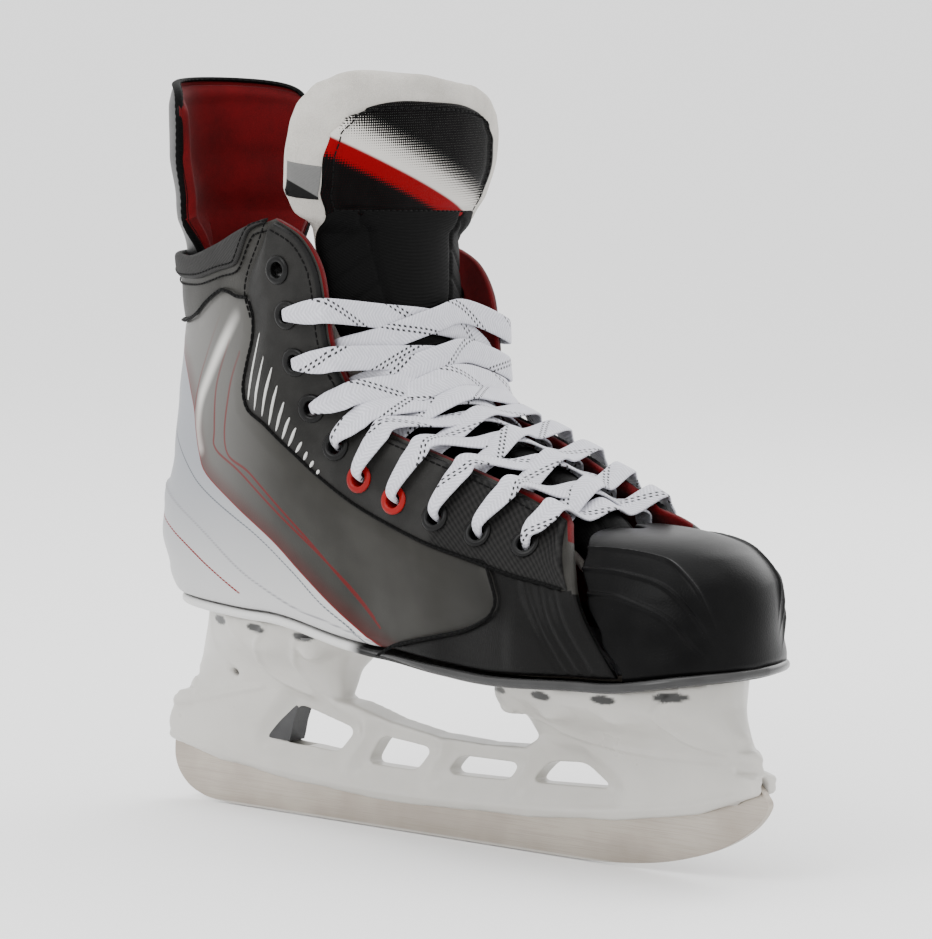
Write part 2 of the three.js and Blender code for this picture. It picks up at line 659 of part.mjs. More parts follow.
function laceHalf(first) {
  const sideOf = (row) => (row % 2 ? -first : first);
  return Array.from({ length: LACE_TOP_ROW }, (_, row) => [
    ...inside(row, sideOf(row)),
    ...crossing(row, sideOf(row)),
    ...outside(row + 1, -sideOf(row)),
  ]).flat();
}
const firstBar = [
  ...outside(0, OUTER).reverse(),
  overTongue(0, OUTER, 0.5, 4),
  overTongue(0, OUTER, 0, 4),
  overTongue(0, INNER, 0.5, 4),
  ...outside(0, INNER),
];
const laceStations = [
  ...laceHalf(OUTER).reverse(),
  ...firstBar,
  ...laceHalf(INNER),
];

// A flat strip through stations, each with a point, the direction of its width, and a width.
function strip(list, thick, stepsEach) {
  const path = new THREE.CatmullRomCurve3(list.map((s) => s.point), false, "centripetal");
  const rings = stations(0, list.length - 1, (list.length - 1) * stepsEach).map((place) => {
    const i = Math.min(list.length - 2, Math.floor(place));
    const f = place - i;
    const t = place / (list.length - 1);
    const point = path.getPoint(t);
    const tangent = path.getTangent(t);
    const wish = list[i].across.clone().lerp(list[i + 1].across, f);
    const across = wish.addScaledVector(tangent, -wish.dot(tangent)).normalize();
    const face = tangent.clone().cross(across);
    const half = mix(list[i].width, list[i + 1].width, f) / 2;
    return [[-1, -1], [1, -1], [1, 1], [-1, 1]].map(([a, b]) =>
      point.clone().addScaledVector(across, a * half).addScaledVector(face, (b * thick) / 2),
    );
  });
  return loft(rings);
}

// ---------------------------------------------------------------- materials
const finish = (color, roughness, metalness = 0) =>
  new THREE.MeshStandardMaterial({ color, roughness, metalness });
const greyLeather = finish(0x4a4946, 0.45);
const blackLeather = finish(0x2c2b2a, 0.4);
const blackPlastic = finish(0x0f0f10, 0.35);
const whitePlastic = finish(0xe9e8e4, 0.35);
const redLining = finish(0x6d0608, 0.85);
const whiteFelt = finish(0xe4e0d8, 0.95);
const laceWeave = finish(0xe6e6ea, 0.8);
const steel = finish(0xb3a898, 0.3, 1);
const darkMetal = finish(0x2a2a2a, 0.35, 0.8);
const redMetal = finish(0xc01a18, 0.4, 0.3);
const foam = finish(0x35383a, 0.9);
const board = finish(0x6b5b48, 0.8);

// ---------------------------------------------------------------- the skate
const skate = new THREE.Group();
function piece(name, geometry, material) {
  const mesh = new THREE.Mesh(geometry, material);
  mesh.name = name;
  skate.add(mesh);
}

for (const [label, side] of [["inner", INNER], ["outer", OUTER]]) {
  const quarter = layer(quarterSurface(side), -QUARTER_THICK, 0, 16, 11, -side);
  piece(`quarter_${label}`, cut(quarter, eyeletHoles(side)), greyLeather);
  const facing = layer(facingSurface(side), FACING_BASE, FACING_TOP, 20, 2, -side);
  piece(`facing_${label}`, cut(facing, eyeletHoles(side)), blackLeather);
  for (let row = 0; row < EYELETS; row++) {
    const red = row === 3 || row === 4;
    const name = `eyelet_${label}_${String(row + 1).padStart(2, "0")}`;
    piece(name, eyeletGeometry(eyeletPlace(row, side)), red ? redMetal : darkMetal);
  }
}

const linerPlan = (a, v) => quarterPlan(a * 0.79, mix(0.06, mix(0.9, 0.97, a ** 2), v));
const linerFace = QUARTER_THICK + 1.6; // clear of the eyelets' rolled tails
piece(
  "liner",
  layer(wrapSurface(linerPlan), -linerFace - LINER_THICK, -linerFace, 20, 6, -1),
  redLining,
);
const collarPlan = (a, v) => quarterPlan(a * 0.62, mix(0.865, 0.995, v));
piece("collar_band", layer(wrapSurface(collarPlan), 0.8, 1.9, 20, 2, -1), greyLeather);

piece("toe_cap", layer(toeSurface, -TOE_CAP_THICK, 0, 18, 8), blackPlastic);
const soleHoles = rivetPlaces.map(
  rivetTool(RIVET_SHANK_R + 0.4, (x) => soleBottomZ(x) - 4, (x) => soleTopZ(x) + 4),
);
const outsole = solePlate(-SOLE_THICK, 0, -0.6, soleBack, soleFront, 22, 1);
piece("outsole", cut(outsole, soleHoles), blackPlastic);
const boardMargin = QUARTER_THICK + LINER_THICK + 1.6;
const tailHoles = rivetPlaces.map(
  rivetTool(RIVET_HEAD_R + 0.1, (x) => soleTopZ(x) - 2, (x) => soleTopZ(x) + 5),
);
const insoleBoard = solePlate(GAP, 2.3, boardMargin, soleBack + 9, soleFront - 9, 16, 1);
piece("insole_board", cut(insoleBoard, tailHoles), board);
piece("footbed", solePlate(2.7, 6.4, boardMargin + 0.6, soleBack + 10, soleFront - 11, 16, 2), foam);

const faceSplit = 0.01;
const felt = (from, to, u) => layer(tonguePart(from, to, 1), -TONGUE_THICK, 0, u, 8, -1);
piece("tongue_lower", felt(0, TONGUE_SPLIT, 10), whiteFelt);
piece("tongue_upper", felt(TONGUE_SPLIT + 0.004, 1, 9), whiteFelt);
const cover = (from, to, share, u) => layer(tonguePart(from, to, share), 0.7, 1.5, u, 6, -1);
piece("tongue_cover", cover(0.03, TONGUE_SPLIT - faceSplit, 0.86, 10), blackLeather);
piece("tongue_badge", cover(TONGUE_SPLIT + faceSplit, 0.945, 0.77, 6), blackLeather);

piece("tendon_guard", layer(guardSurface, -GUARD_INSET - 2, -GUARD_INSET, 12, 6, -1), blackLeather);
const padSurface = (u, v) => guardSurface(mix(0.03, 0.97, u), mix(0.01, 0.97, v));
piece(
  "tendon_guard_pad",
  layer(padSurface, -GUARD_INSET - 6, -GUARD_INSET - 2.8, 12, 6, -1),
  redLining,
);

piece("lace", strip(laceStations, LACE_THICK, 2), laceWeave);

const holderBody = join([plate(railOutline, RAIL_HALF), heelPylon, toePylon]);
const rivetSeats = rivetPlaces.map(
  rivetTool(RIVET_HEAD_R + 1, (x) => soleBottomZ(x) - 17, (x) => soleBottomZ(x) - GAP - FLANGE),
);
const rivetShafts = rivetPlaces.map(
  rivetTool(RIVET_SHANK_R + 0.4, (x) => soleBottomZ(x) - 8, (x) => soleBottomZ(x) + 4),
);
const holder = cut(holderBody, [
  aboveSole,
  ...windows.map((corners) => plate(rounded(corners, WINDOW_ROUND), 30)),
  runnerSlot,
  ...hookPockets,
  plate(triggerRoom, TRIGGER_HALF + 0.5),
  rod(pinPlace, acrossSkate, PIN_R + GAP, 40),
  ...rivetSeats,
  ...rivetShafts,
]);
piece("blade_holder", holder, whitePlastic);
piece("runner", plate(runnerOutline, RUNNER_THICK / 2), steel);

const trigger = cut(plate(triggerOutline, TRIGGER_HALF), [
  plate(triggerSlot, slotHalf + 0.25),
  rod(pinPlace, acrossSkate, PIN_R + GAP, 20),
  rod(pinPlace, acrossSkate, 3.9, 2 * (slotHalf + 0.25), 12),
]);
piece("trigger", trigger, blackPlastic);
piece("trigger_pin", rod(pinPlace, acrossSkate, PIN_R, 13), darkMetal);
piece("trigger_spring", springGeometry(), darkMetal);

rivetPlaces.forEach((place, i) => {
  const name = `rivet_${place[1] < 0 ? "inner" : "outer"}_${Math.floor(i / 2) + 1}`;
  piece(name, rivetGeometry(place), darkMetal);
});

export default skate;
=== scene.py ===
# %% [markdown]
# # An ice hockey skate, left foot, size 8
# A stiff moulded boot is riveted to a plastic blade holder, and a steel runner hooks into
# the holder. The working dimensions of the CAD pieces are repeated here as numbers, and
# each piece is rebuilt with the cloth, thread, print and moulded edges of a real skate.
# Everything is worked out in millimetres and turned into metres when a mesh is made.

# %% Load the frame
import math
import bmesh
import bpy
import numpy as np
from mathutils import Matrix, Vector


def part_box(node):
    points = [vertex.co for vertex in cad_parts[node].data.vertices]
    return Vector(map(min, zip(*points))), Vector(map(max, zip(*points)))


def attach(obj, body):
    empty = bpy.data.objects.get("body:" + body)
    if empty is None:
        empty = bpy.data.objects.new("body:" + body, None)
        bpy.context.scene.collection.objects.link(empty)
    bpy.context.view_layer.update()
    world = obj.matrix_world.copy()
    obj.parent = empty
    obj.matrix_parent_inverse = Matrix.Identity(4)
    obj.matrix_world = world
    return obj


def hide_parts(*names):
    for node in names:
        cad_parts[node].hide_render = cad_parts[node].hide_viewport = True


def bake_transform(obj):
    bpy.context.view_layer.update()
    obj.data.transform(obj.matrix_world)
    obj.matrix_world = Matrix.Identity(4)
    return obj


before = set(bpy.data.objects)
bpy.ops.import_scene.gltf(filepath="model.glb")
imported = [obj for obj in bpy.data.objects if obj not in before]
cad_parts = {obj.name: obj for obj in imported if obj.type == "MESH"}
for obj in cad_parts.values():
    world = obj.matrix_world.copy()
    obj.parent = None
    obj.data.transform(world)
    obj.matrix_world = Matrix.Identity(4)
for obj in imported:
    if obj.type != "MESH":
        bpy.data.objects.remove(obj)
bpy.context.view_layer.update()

MM = 0.001
INNER, OUTER = -1, 1

# %% [markdown]
# ## Camera, floor and light
# The camera stands in front of the toe's inner side, a little above the ice, as a shop
# would show a skate. Light comes from big soft panels, and the floor is pale paper.

# %% Camera
AZIMUTH, ELEVATION, FAR = math.radians(42), math.radians(6.2), 1.9
toward_eye = Vector((math.sin(AZIMUTH) * math.cos(ELEVATION),
                     -math.cos(AZIMUTH) * math.cos(ELEVATION), math.sin(ELEVATION)))
aim = Vector((0.00309, 0, 0.13474))
eye = bpy.data.objects.new("camera", bpy.data.cameras.new("camera"))
bpy.context.scene.collection.objects.link(eye)
eye.location = aim + toward_eye * FAR
eye.rotation_euler = (-toward_eye).to_track_quat("-Z", "Y").to_euler()
SENSOR = 36
eye.data.sensor_width = SENSOR
eye.data.lens = 2.7873 * 1900 / 939 * SENSOR
bpy.context.scene.camera = eye

# %% Floor, walls of light
def panel_light(name, place, size, watts, target=(0, 0, 0.13)):
    light = bpy.data.lights.new(name, "AREA")
    light.shape, light.size, light.size_y, light.energy = "RECTANGLE", size[0], size[1], watts
    lamp = bpy.data.objects.new(name, light)
    bpy.context.scene.collection.objects.link(lamp)
    lamp.location = place
    lamp.rotation_euler = (Vector(target) - Vector(place)).to_track_quat("-Z", "Y").to_euler()
    return lamp

side_on = Vector((math.cos(AZIMUTH), math.sin(AZIMUTH), 0))
panel_light("key", aim + toward_eye * 1.0 - side_on * 0.9 + Vector((0, 0, 0.9)), (0.9, 0.9), 13)
panel_light("fill", aim + toward_eye * 1.1 + side_on * 1.2 + Vector((0, 0, 0.5)), (1.0, 1.4), 3)
panel_light("top", aim + Vector((0, 0, 1.4)), (1.2, 1.2), 9)
panel_light("back", aim - toward_eye * 0.9 + side_on * 0.7 + Vector((0, 0, 0.7)), (0.9, 0.9), 5)

floor_mesh = bpy.data.meshes.new("floor")
reach, lowered = 80.0, -0.0004
corners = [(-reach, -reach), (reach, -reach), (reach, reach), (-reach, reach)]
floor_mesh.from_pydata([(x, y, lowered) for x, y in corners], [], [(0, 1, 2, 3)])
floor = bpy.data.objects.new("floor", floor_mesh)
bpy.context.scene.collection.objects.link(floor)
paper = bpy.data.materials.new("paper")
paper.use_nodes = True
paper.node_tree.nodes["Principled BSDF"].inputs["Base Color"].default_value = (0.93, 0.93, 0.93, 1)
paper.node_tree.nodes["Principled BSDF"].inputs["Roughness"].default_value = 0.9
floor_mesh.materials.append(paper)
world = bpy.data.worlds.new("studio")
world.use_nodes = True
world.node_tree.nodes["Background"].inputs["Color"].default_value = (1, 1, 1, 1)
world.node_tree.nodes["Background"].inputs["Strength"].default_value = 1.8
bpy.context.scene.world = world

# %% [markdown]
# ## Small tools
# `through` runs smoothly between measured pairs, and `Line` is a smooth curve through
# points that can be read by its share of length. Grids of points become meshes.

# %% Curves
def smooth(t):
    t = np.clip(t, 0, 1)
    return t * t * (3 - 2 * t)

def mix(a, b, t):
    return a + (b - a) * t

def through(pairs):
    xs, ys = (np.array(c, float) for c in zip(*pairs))
    def f(x):
        x = np.clip(np.asarray(x, float), xs[0], xs[-1])
        i = np.clip(np.searchsorted(xs, x, side="right") - 1, 0, len(xs) - 2)
        return mix(ys[i], ys[i + 1], smooth((x - xs[i]) / (xs[i + 1] - xs[i])))
    return f

class Line:
    def __init__(self, points, count=2400, straight=False):
        p = np.array(points, float)
        place = np.linspace(0, len(p) - 1, count)
        i = np.minimum(place.astype(int), len(p) - 2)
        t = (place - i)[:, None]
        a, b, c, d = p[np.maximum(i - 1, 0)], p[i], p[i + 1], p[np.minimum(i + 2, len(p) - 1)]
        v, w = (c - a) / 2, (d - b) / 2
        if straight:
            self.points = b + (c - b) * t
        else:
            self.points = (2 * b - 2 * c + v + w) * t**3 + (3 * c - 3 * b - 2 * v - w) * t**2 + v * t + b
        run = np.r_[0, np.cumsum(np.linalg.norm(np.diff(self.points, axis=0), axis=1))]
        self.length, self.share = run[-1], run / run[-1]
    def at(self, u):
        u = np.clip(np.asarray(u, float), 0, 1)
        return np.stack([np.interp(u, self.share, c) for c in self.points.T], -1)
    def tangent(self, u):
        d = self.at(np.clip(np.asarray(u) + 1e-3, 0, 1)) - self.at(np.clip(np.asarray(u) - 1e-3, 0, 1))
        return d / np.linalg.norm(d, axis=-1, keepdims=True)

def distance_to(points, x, z):
    """How far each (x, z) is from a run of straight pieces."""
    q = np.stack([np.ravel(x), np.ravel(z)], 1).astype(float)
    best = np.full(len(q), 1e9)
    for a, b in zip(points[:-1], points[1:]):
        d = b - a
        t = np.clip(((q - a) @ d) / max(d @ d, 1e-9), 0, 1)
        best = np.minimum(best, np.hypot(*(q - a - t[:, None] * d).T))
    return best.reshape(np.shape(x))

def inside_of(corners, x, z):
    """Distance to an outline, positive inside it."""
    c = np.array(corners, float)
    far = distance_to(np.vstack([c, c[:1]]), x, z)
    hit = np.zeros(np.shape(x), bool)
    for (x0, z0), (x1, z1) in zip(c, np.roll(c, -1, 0)):
        if z0 != z1:
            hit ^= ((z0 > z) != (z1 > z)) & (x < (x1 - x0) * (z - z0) / (z1 - z0) + x0)
    return np.where(hit, far, -far)

# %% Meshes from grids
def make_object(name, points, faces, material=None, marks=None, flat=False):
    mesh = bpy.data.meshes.new(name)
    mesh.from_pydata((np.asarray(points, float) * MM).tolist(), [], faces.tolist() if hasattr(faces,
            "tolist") else faces)
    if marks:
        for key, values in marks.items():
            mesh.attributes.new(key, "FLOAT", "POINT").data.foreach_set(
                "value", np.asarray(values, np.float32).ravel())
    made = bpy.data.objects.new(name, mesh)
    bpy.context.scene.collection.objects.link(made)
    tidy(made, not flat)
    for m in (material if isinstance(material, (list, tuple)) else [material]):
        if m:
            mesh.materials.append(m)
    return made

def tidy(made, rounded=True):
    bm = bmesh.new()
    bm.from_mesh(made.data)
    bmesh.ops.delete(bm, geom=[v for v in bm.verts if not v.link_faces], context="VERTS")
    bmesh.ops.recalc_face_normals(bm, faces=bm.faces)
    bm.to_mesh(made.data)
    bm.free()
    made.data.polygons.foreach_set("use_smooth", [rounded] * len(made.data.polygons))

def grid_faces(rows, columns, keep=None, start=0, wrap=False):
    i, j = np.meshgrid(np.arange(rows - 1), np.arange(columns if wrap else columns - 1), indexing="ij")
    k = (j + 1) % columns
    quads = np.stack([i * columns + j, (i + 1) * columns + j, (i + 1) * columns + k, i * columns + k], -1)
    return (quads[keep] if keep is not None else quads.reshape(-1, 4)) + start

def grid_normals(p):
    n = np.cross(np.gradient(p, axis=0), np.gradient(p, axis=1))
    return n / np.maximum(np.linalg.norm(n, axis=-1, keepdims=True), 1e-9)

def slab(name, front, back, material, marks=None, keep=None, inner_material=None):
    """A solid between two grids, closed round its rim. Returns the object."""
    rows, columns = front.shape[:2]
    size = rows * columns
    faces = [grid_faces(rows, columns, keep), grid_faces(rows, columns, keep, size)[:, ::-1]]
    index = np.arange(size).reshape(rows, columns)
    ring = np.r_[index[:, 0], index[-1, 1:], index[-2::-1, -1], index[0, -2:0:-1]]
    after = np.roll(ring, -1)
    faces.append(np.stack([ring, after, after + size, ring + size], 1))
    both = {k: np.r_[np.ravel(v), np.ravel(v)] for k, v in (marks or {}).items()}
    both["face_side"] = np.r_[np.zeros(size), np.ones(size)]
    points = np.vstack([front.reshape(-1, 3), back.reshape(-1, 3)])
    made = make_object(name, points, np.vstack(faces), material, both)
    if inner_material:
        made.data.materials.append(inner_material)
        count = [len(f) for f in faces]
        rim_red = points[ring, 2] > 118
        slots = np.r_[np.zeros(count[0]), np.ones(count[1]), rim_red].astype(np.int32)
        made.data.polygons.foreach_set("material_index", slots)
    return made

def rim(t, soft):
    """1 in the middle of a strip, falling round to 0 at both ends of t."""
    d = np.minimum(t, 1 - t) / soft
    return np.sqrt(1 - (1 - np.clip(d, 0, 1)) ** 2)

def stations(count, soft=0.02):
    """Steps from 0 to 1, closer together near both ends."""
    edge = soft * np.array([0, 0.06, 0.2, 0.42, 0.7])
    return np.r_[edge, np.linspace(soft, 1 - soft, count), 1 - edge[::-1]]

# %% Tubes
def tube(name, path, radius, material, sides=8, closed=False, flat=1.0, up=None, tips=True):
    p = np.asarray(path, float)
    if closed:
        t = np.roll(p, -1, 0) - np.roll(p, 1, 0)
    else:
        t = np.gradient(p, axis=0)
    t /= np.linalg.norm(t, axis=1, keepdims=True)
    u = np.tile([0.1, 0.2, 1.0], (len(p), 1)) if up is None else np.asarray(up, float)
    a = np.cross(t, u)
    a /= np.maximum(np.linalg.norm(a, axis=1, keepdims=True), 1e-9)
    b = np.cross(a, t)
    r = np.broadcast_to(np.asarray(radius, float), len(p)).copy()
    angle = np.linspace(0, 2 * np.pi, sides, endpoint=False)
    ring = (p[:, None] + r[:, None, None] * (np.cos(angle)[:, None] * a[:, None] + flat * np.sin(angle)[:,
            None] * b[:, None]))
    faces = grid_faces(len(p), sides, wrap=True).tolist()
    if closed:
        last = (len(p) - 1) * sides
        faces += [[last + i, i, (i + 1) % sides, last + (i + 1) % sides] for i in range(sides)]
    elif tips:
        faces += [list(range(sides)), list(range((len(p) - 1) * sides, len(p) * sides))]
    return ring.reshape(-1, 3), faces

def tubes(name, runs, material, **settings):
    """Several tubes as one piece; each run is (path, radius, up)."""
    points, faces, start = [], [], 0
    for path, radius, up in runs:
        v, f = tube(name, path, radius, None, up=up, **settings)
        points.append(v)
        faces += [[i + start for i in face] for face in f]
        start += len(v)
    mesh = bpy.data.meshes.new(name)
    mesh.from_pydata((np.vstack(points) * MM).tolist(), [], faces)
    made = bpy.data.objects.new(name, mesh)
    bpy.context.scene.collection.objects.link(made)
    tidy(made)
    mesh.materials.append(material)
    return made

# %% [markdown]
# ## Finishes
# Each finish is a small node tree. `Tree` shortens the wiring. Three shared groups give
# leather grain, a woven rib and the faint wear of handling. Coordinates are the skate's
# own, in millimetres, so that the grain runs across neighbouring pieces.

# %% Node helper
class Tree:
    def __init__(self, tree):
        self.tree = tree
    def node(self, kind, values=None, **options):
        made = self.tree.nodes.new(kind)
        for key, value in options.items():
            setattr(made, key, value)
        for key, value in (values or {}).items():
            self.put(made.inputs[key], value)
        return made
    def put(self, socket, value):
        if isinstance(value, bpy.types.NodeSocket):
            self.tree.links.new(value, socket)
        else:
            socket.default_value = value
    def math(self, operation, a, b=0.0, c=0.0, clamp=False):
        made = self.node("ShaderNodeMath", operation=operation, use_clamp=clamp)
        for socket, value in zip(made.inputs, (a, b, c)):
            self.put(socket, value)
        return made.outputs[0]
    def blend(self, share, a, b, mode="MIX"):
        made = self.node("ShaderNodeMix", data_type="RGBA", blend_type=mode)
        self.put(made.inputs[0], share)
        self.put(made.inputs[6], a if isinstance(a, bpy.types.NodeSocket) else (*a, 1))
        self.put(made.inputs[7], b if isinstance(b, bpy.types.NodeSocket) else (*b, 1))
        return made.outputs[2]
    def step(self, value, low, high, a=0.0, b=1.0):
        made = self.node("ShaderNodeMapRange", interpolation_type="SMOOTHSTEP")
        for socket, given in zip(made.inputs, (value, low, high, a, b)):
            self.put(socket, given)
        return made.outputs[0]
    def mark(self, name):
        return self.node("ShaderNodeAttribute", attribute_name=name).outputs["Fac"]
    def place(self):
        spot = self.node("ShaderNodeTexCoord").outputs["Object"]
        grown = self.node("ShaderNodeVectorMath", {0: spot, 1: (1000, 1000, 1000)}, operation="MULTIPLY")
        return grown.outputs[0]
    def parts(self, vector):
        return self.node("ShaderNodeSeparateXYZ", {0: vector}).outputs
    def noise(self, vector, scale, detail=3.0, rough=0.55):
        made = self.node("ShaderNodeTexNoise", {"Vector": vector, "Scale": scale, "Detail": detail,
                                                "Roughness": rough})
        return made.outputs["Fac"]
    def group(self, name, values):
        made = self.node("ShaderNodeGroup", node_tree=bpy.data.node_groups[name])
        for key, value in values.items():
            self.put(made.inputs[key], value)
        return made.outputs

# %% Shared groups
def new_group(name, inputs, outputs):
    group = bpy.data.node_groups.new(name, "ShaderNodeTree")
    for key, kind in inputs:
        group.interface.new_socket(key, in_out="INPUT", socket_type=kind)
    for key in outputs:
        group.interface.new_socket(key, in_out="OUTPUT", socket_type="NodeSocketFloat")
    t = Tree(group)
    return t, t.node("NodeGroupInput").outputs, t.node("NodeGroupOutput").inputs

t, given, out = new_group("leather_grain", [("Vector", "NodeSocketVector"), ("Scale", "NodeSocketFloat")],
                          ["Height", "Shade"])
cells = t.node("ShaderNodeTexVoronoi", {"Vector": given["Vector"], "Scale": given["Scale"]},
               feature="DISTANCE_TO_EDGE")
fold = t.noise(given["Vector"], 0.08, 4)
pore = t.noise(given["Vector"], 2.2, 2)
t.put(out["Height"], t.math("ADD", t.math("MULTIPLY", t.step(cells.outputs["Distance"], 0, 0.25), 0.6),
                            t.math("MULTIPLY", pore, 0.4)))
t.put(out["Shade"], t.step(fold, 0.3, 0.7))

t, given, out = new_group("woven_rib", [("Vector", "NodeSocketVector"), ("Pitch", "NodeSocketFloat")],
                          ["Height", "Shade"])
x, y, z = t.parts(given["Vector"])
turn = t.math("DIVIDE", 6.2832, given["Pitch"])
warp = t.math("SINE", t.math("MULTIPLY", t.math("ADD", x, z), turn))
weft = t.math("SINE", t.math("MULTIPLY", t.math("SUBTRACT", x, z), t.math("MULTIPLY", turn, 0.5)))
lift = t.math("MULTIPLY_ADD", warp, 0.35, t.math("MULTIPLY_ADD", weft, 0.15, 0.5))
t.put(out["Height"], lift)
t.put(out["Shade"], t.math("MULTIPLY_ADD", t.noise(given["Vector"], 1.2), 0.5, t.math("MULTIPLY", lift,
        0.5)))

t, given, out = new_group("handling_wear", [("Vector", "NodeSocketVector"), ("Amount", "NodeSocketFloat")],
                          ["Mask", "Rough"])
broad = t.noise(given["Vector"], 0.03, 5, 0.6)
fine = t.noise(given["Vector"], 0.6, 3, 0.6)
t.put(out["Mask"], t.math("MULTIPLY", t.step(t.math("MULTIPLY", broad, fine), 0.26, 0.42), given["Amount"]))
t.put(out["Rough"], t.math("MULTIPLY_ADD", broad, 0.16, -0.08))

# %% A finish from its parts
def finish(name, build, rough=0.5, metal=0.0, coat=0.0, bump=0.1, sheen=0.0, shine=0.35):
    """build(t, place) gives (colour, height, added roughness), any of which may be None."""
    made = bpy.data.materials.new(name)
    made.use_nodes = True
    t = Tree(made.node_tree)
    shader = made.node_tree.nodes["Principled BSDF"]
    place = t.place()
    result = build(t, place)
    colour, height, more = result[:3]
    wear = t.group("handling_wear", {"Vector": place, "Amount": 0.35})
    t.put(shader.inputs["Base Color"], colour if isinstance(colour, bpy.types.NodeSocket) else (*colour, 1))
    base = t.math("ADD", wear["Rough"], rough)
    t.put(shader.inputs["Roughness"], t.math("ADD", base, more, clamp=True) if more is not None else base)
    t.put(shader.inputs["Metallic"], result[3] if len(result) > 3 else metal)
    shader.inputs["Specular IOR Level"].default_value = shine
    shader.inputs["Coat Weight"].default_value = coat
    shader.inputs["Coat Roughness"].default_value = 0.15
    shader.inputs["Sheen Weight"].default_value = sheen
    if height is not None:
        bumps = t.node("ShaderNodeBump", {"Strength": 1.0, "Distance": bump * MM, "Height": height})
        t.put(shader.inputs["Normal"], bumps.outputs[0])
    return made

def plain(colour, other, scale=0.05):
    def build(t, place):
        grain = t.noise(place, 1.6, 3)
        cloud = t.noise(place, scale, 4)
        return t.blend(t.step(cloud, 0.3, 0.7), colour, other), grain, None
    return build

def leathery(colour, other, scale=1.1):
    def build(t, place):
        grain = t.group("leather_grain", {"Vector": place, "Scale": scale})
        return t.blend(grain["Shade"], colour, other), grain["Height"], None
    return build

def woven(colour, other, pitch=1.2):
    def build(t, place):
        cloth = t.group("woven_rib", {"Vector": place, "Pitch": pitch})
        return t.blend(cloth["Shade"], colour, other), cloth["Height"], None
    return build

def fuzzy(colour, other):
    def build(t, place):
        nap = t.noise(place, 3.0, 4, 0.7)
        cloud = t.noise(place, 0.06, 4)
        both = t.math("MULTIPLY_ADD", nap, 0.6, t.math("MULTIPLY", cloud, 0.4))
        return t.blend(t.step(both, 0.35, 0.65), colour, other), nap, None
    return build

thread_black = finish("thread_black", woven((0.001, 0.001, 0.001), (0.006, 0.006, 0.006), 0.5), 0.6,
                      bump=0.15, shine=0.06)
lining_red = finish("lining_red", fuzzy((0.045, 0.0004, 0.001), (0.1, 0.001, 0.0025)), 0.85, bump=0.12,
                    sheen=0.05, shine=0.1)
felt_white = finish("felt_white", fuzzy((0.36, 0.34, 0.31), (0.54, 0.52, 0.48)), 0.95, bump=0.25, sheen=0.0,
                    shine=0.1)
satin_black = finish("satin_black", leathery((0.0014, 0.0014, 0.0015), (0.0026, 0.0026, 0.0027), 0.8), 0.32,
                     bump=0.03, shine=0.06)
cloth_black = finish("cloth_black", woven((0.0012, 0.0012, 0.0012), (0.0035, 0.0035, 0.0035), 1.0), 0.6,
                     bump=0.1, shine=0.04)
eyelet_black = finish("eyelet_black", plain((0.002, 0.002, 0.002), (0.005, 0.005, 0.005)), 0.28, 0.0,
                      bump=0.02, shine=0.15)
eyelet_red = finish("eyelet_red", plain((0.17, 0.0015, 0.0015), (0.22, 0.0025, 0.002)), 0.28, 0.0,
                    bump=0.02, shine=0.18)
print("finishes", len(bpy.data.materials))

# %% [markdown]
# ## The boot's form
# The upper is described in the side view. For a place (x, z) there, `boot_point` gives
# the point on the outside of the boot, on either side. It narrows to the lacing gap over
# a round shoulder, rounds off at the heel, and the outer ankle is cut a little lower.

# %% Boot form
toe_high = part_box("toe_cap")[1]
TOE_X = toe_high.x / MM
OUTER_DROP, SHOULDER = 14, 40
back_x = through([(76, -129), (91, -135.5), (103, -138.5), (115, -136.5), (134, -132), (155, -130.5),
                  (178, -128),
                  (194, -130), (207, -132), (227, -135.5), (245, -139), (262, -139.5), (273, -137)])
sole_z = through([(-130, 81), (-70, 79.5), (-5, 72.5), (50, 69.6), (100, 71.5), (147, 77)])
sole_half = {INNER: through([(-112, 27), (-70, 32), (-20, 36), (30, 43), (70, 46.5), (112, 43)]),
             OUTER: through([(-112, 27), (-70, 32), (-20, 36.5), (30, 43), (65, 45.5), (112, 34)])}
ankle_half = through([(-115, 33.5), (-40, 48.5), (60, 46.5)])
gap_half = through([(0, 25), (0.5, 36), (0.72, 46), (1, 47.5)])
gap_edge = Line([(73, 124), (43, 136), (13, 146), (-7, 153), (-16, 162.5), (-20, 176),
                 (-22, 192), (-25, 208), (-33, 219), (-46, 225)])
gap_spots = gap_edge.at(np.linspace(0, 1, 90))

def nearest_edge(x, z):
    x, z = np.broadcast_arrays(np.asarray(x, float), np.asarray(z, float))
    q = np.stack([x.ravel(), z.ravel()], 1)
    best, along = np.full(len(q), 1e9), np.zeros(len(q))
    for i, (a, b) in enumerate(zip(gap_spots[:-1], gap_spots[1:])):
        d = b - a
        t = np.clip(((q - a) @ d) / (d @ d), 0, 1)
        r = np.hypot(*(q - a - t[:, None] * d).T)
        nearer = r < best
        best[nearer] = r[nearer]
        along[nearer] = (i + t[nearer]) / (len(gap_spots) - 1)
    return best.reshape(x.shape), along.reshape(x.shape)

def boot_point(x, z, side):
    x, z = np.broadcast_arrays(np.asarray(x, float), np.asarray(z, float))
    gap, along = nearest_edge(x, z)
    wall = mix(sole_half[side](x), ankle_half(x), smooth((z - 78) / 72))
    shoulder = 1 - (1 - np.clip(gap / SHOULDER, 0, 1)) ** 2
    heel = np.clip((x - back_x(z)) / mix(34, 50, smooth((z - 110) / 60)), 0, 1)
    half = mix(gap_half(along), wall, shoulder) * np.sqrt(1 - (1 - heel) ** 2)
    drop = OUTER_DROP * smooth((x - back_x(z)) / 80) * smooth((z - 140) / 60) if side == OUTER else 0
    return np.stack([x, side * half, z - drop], -1)

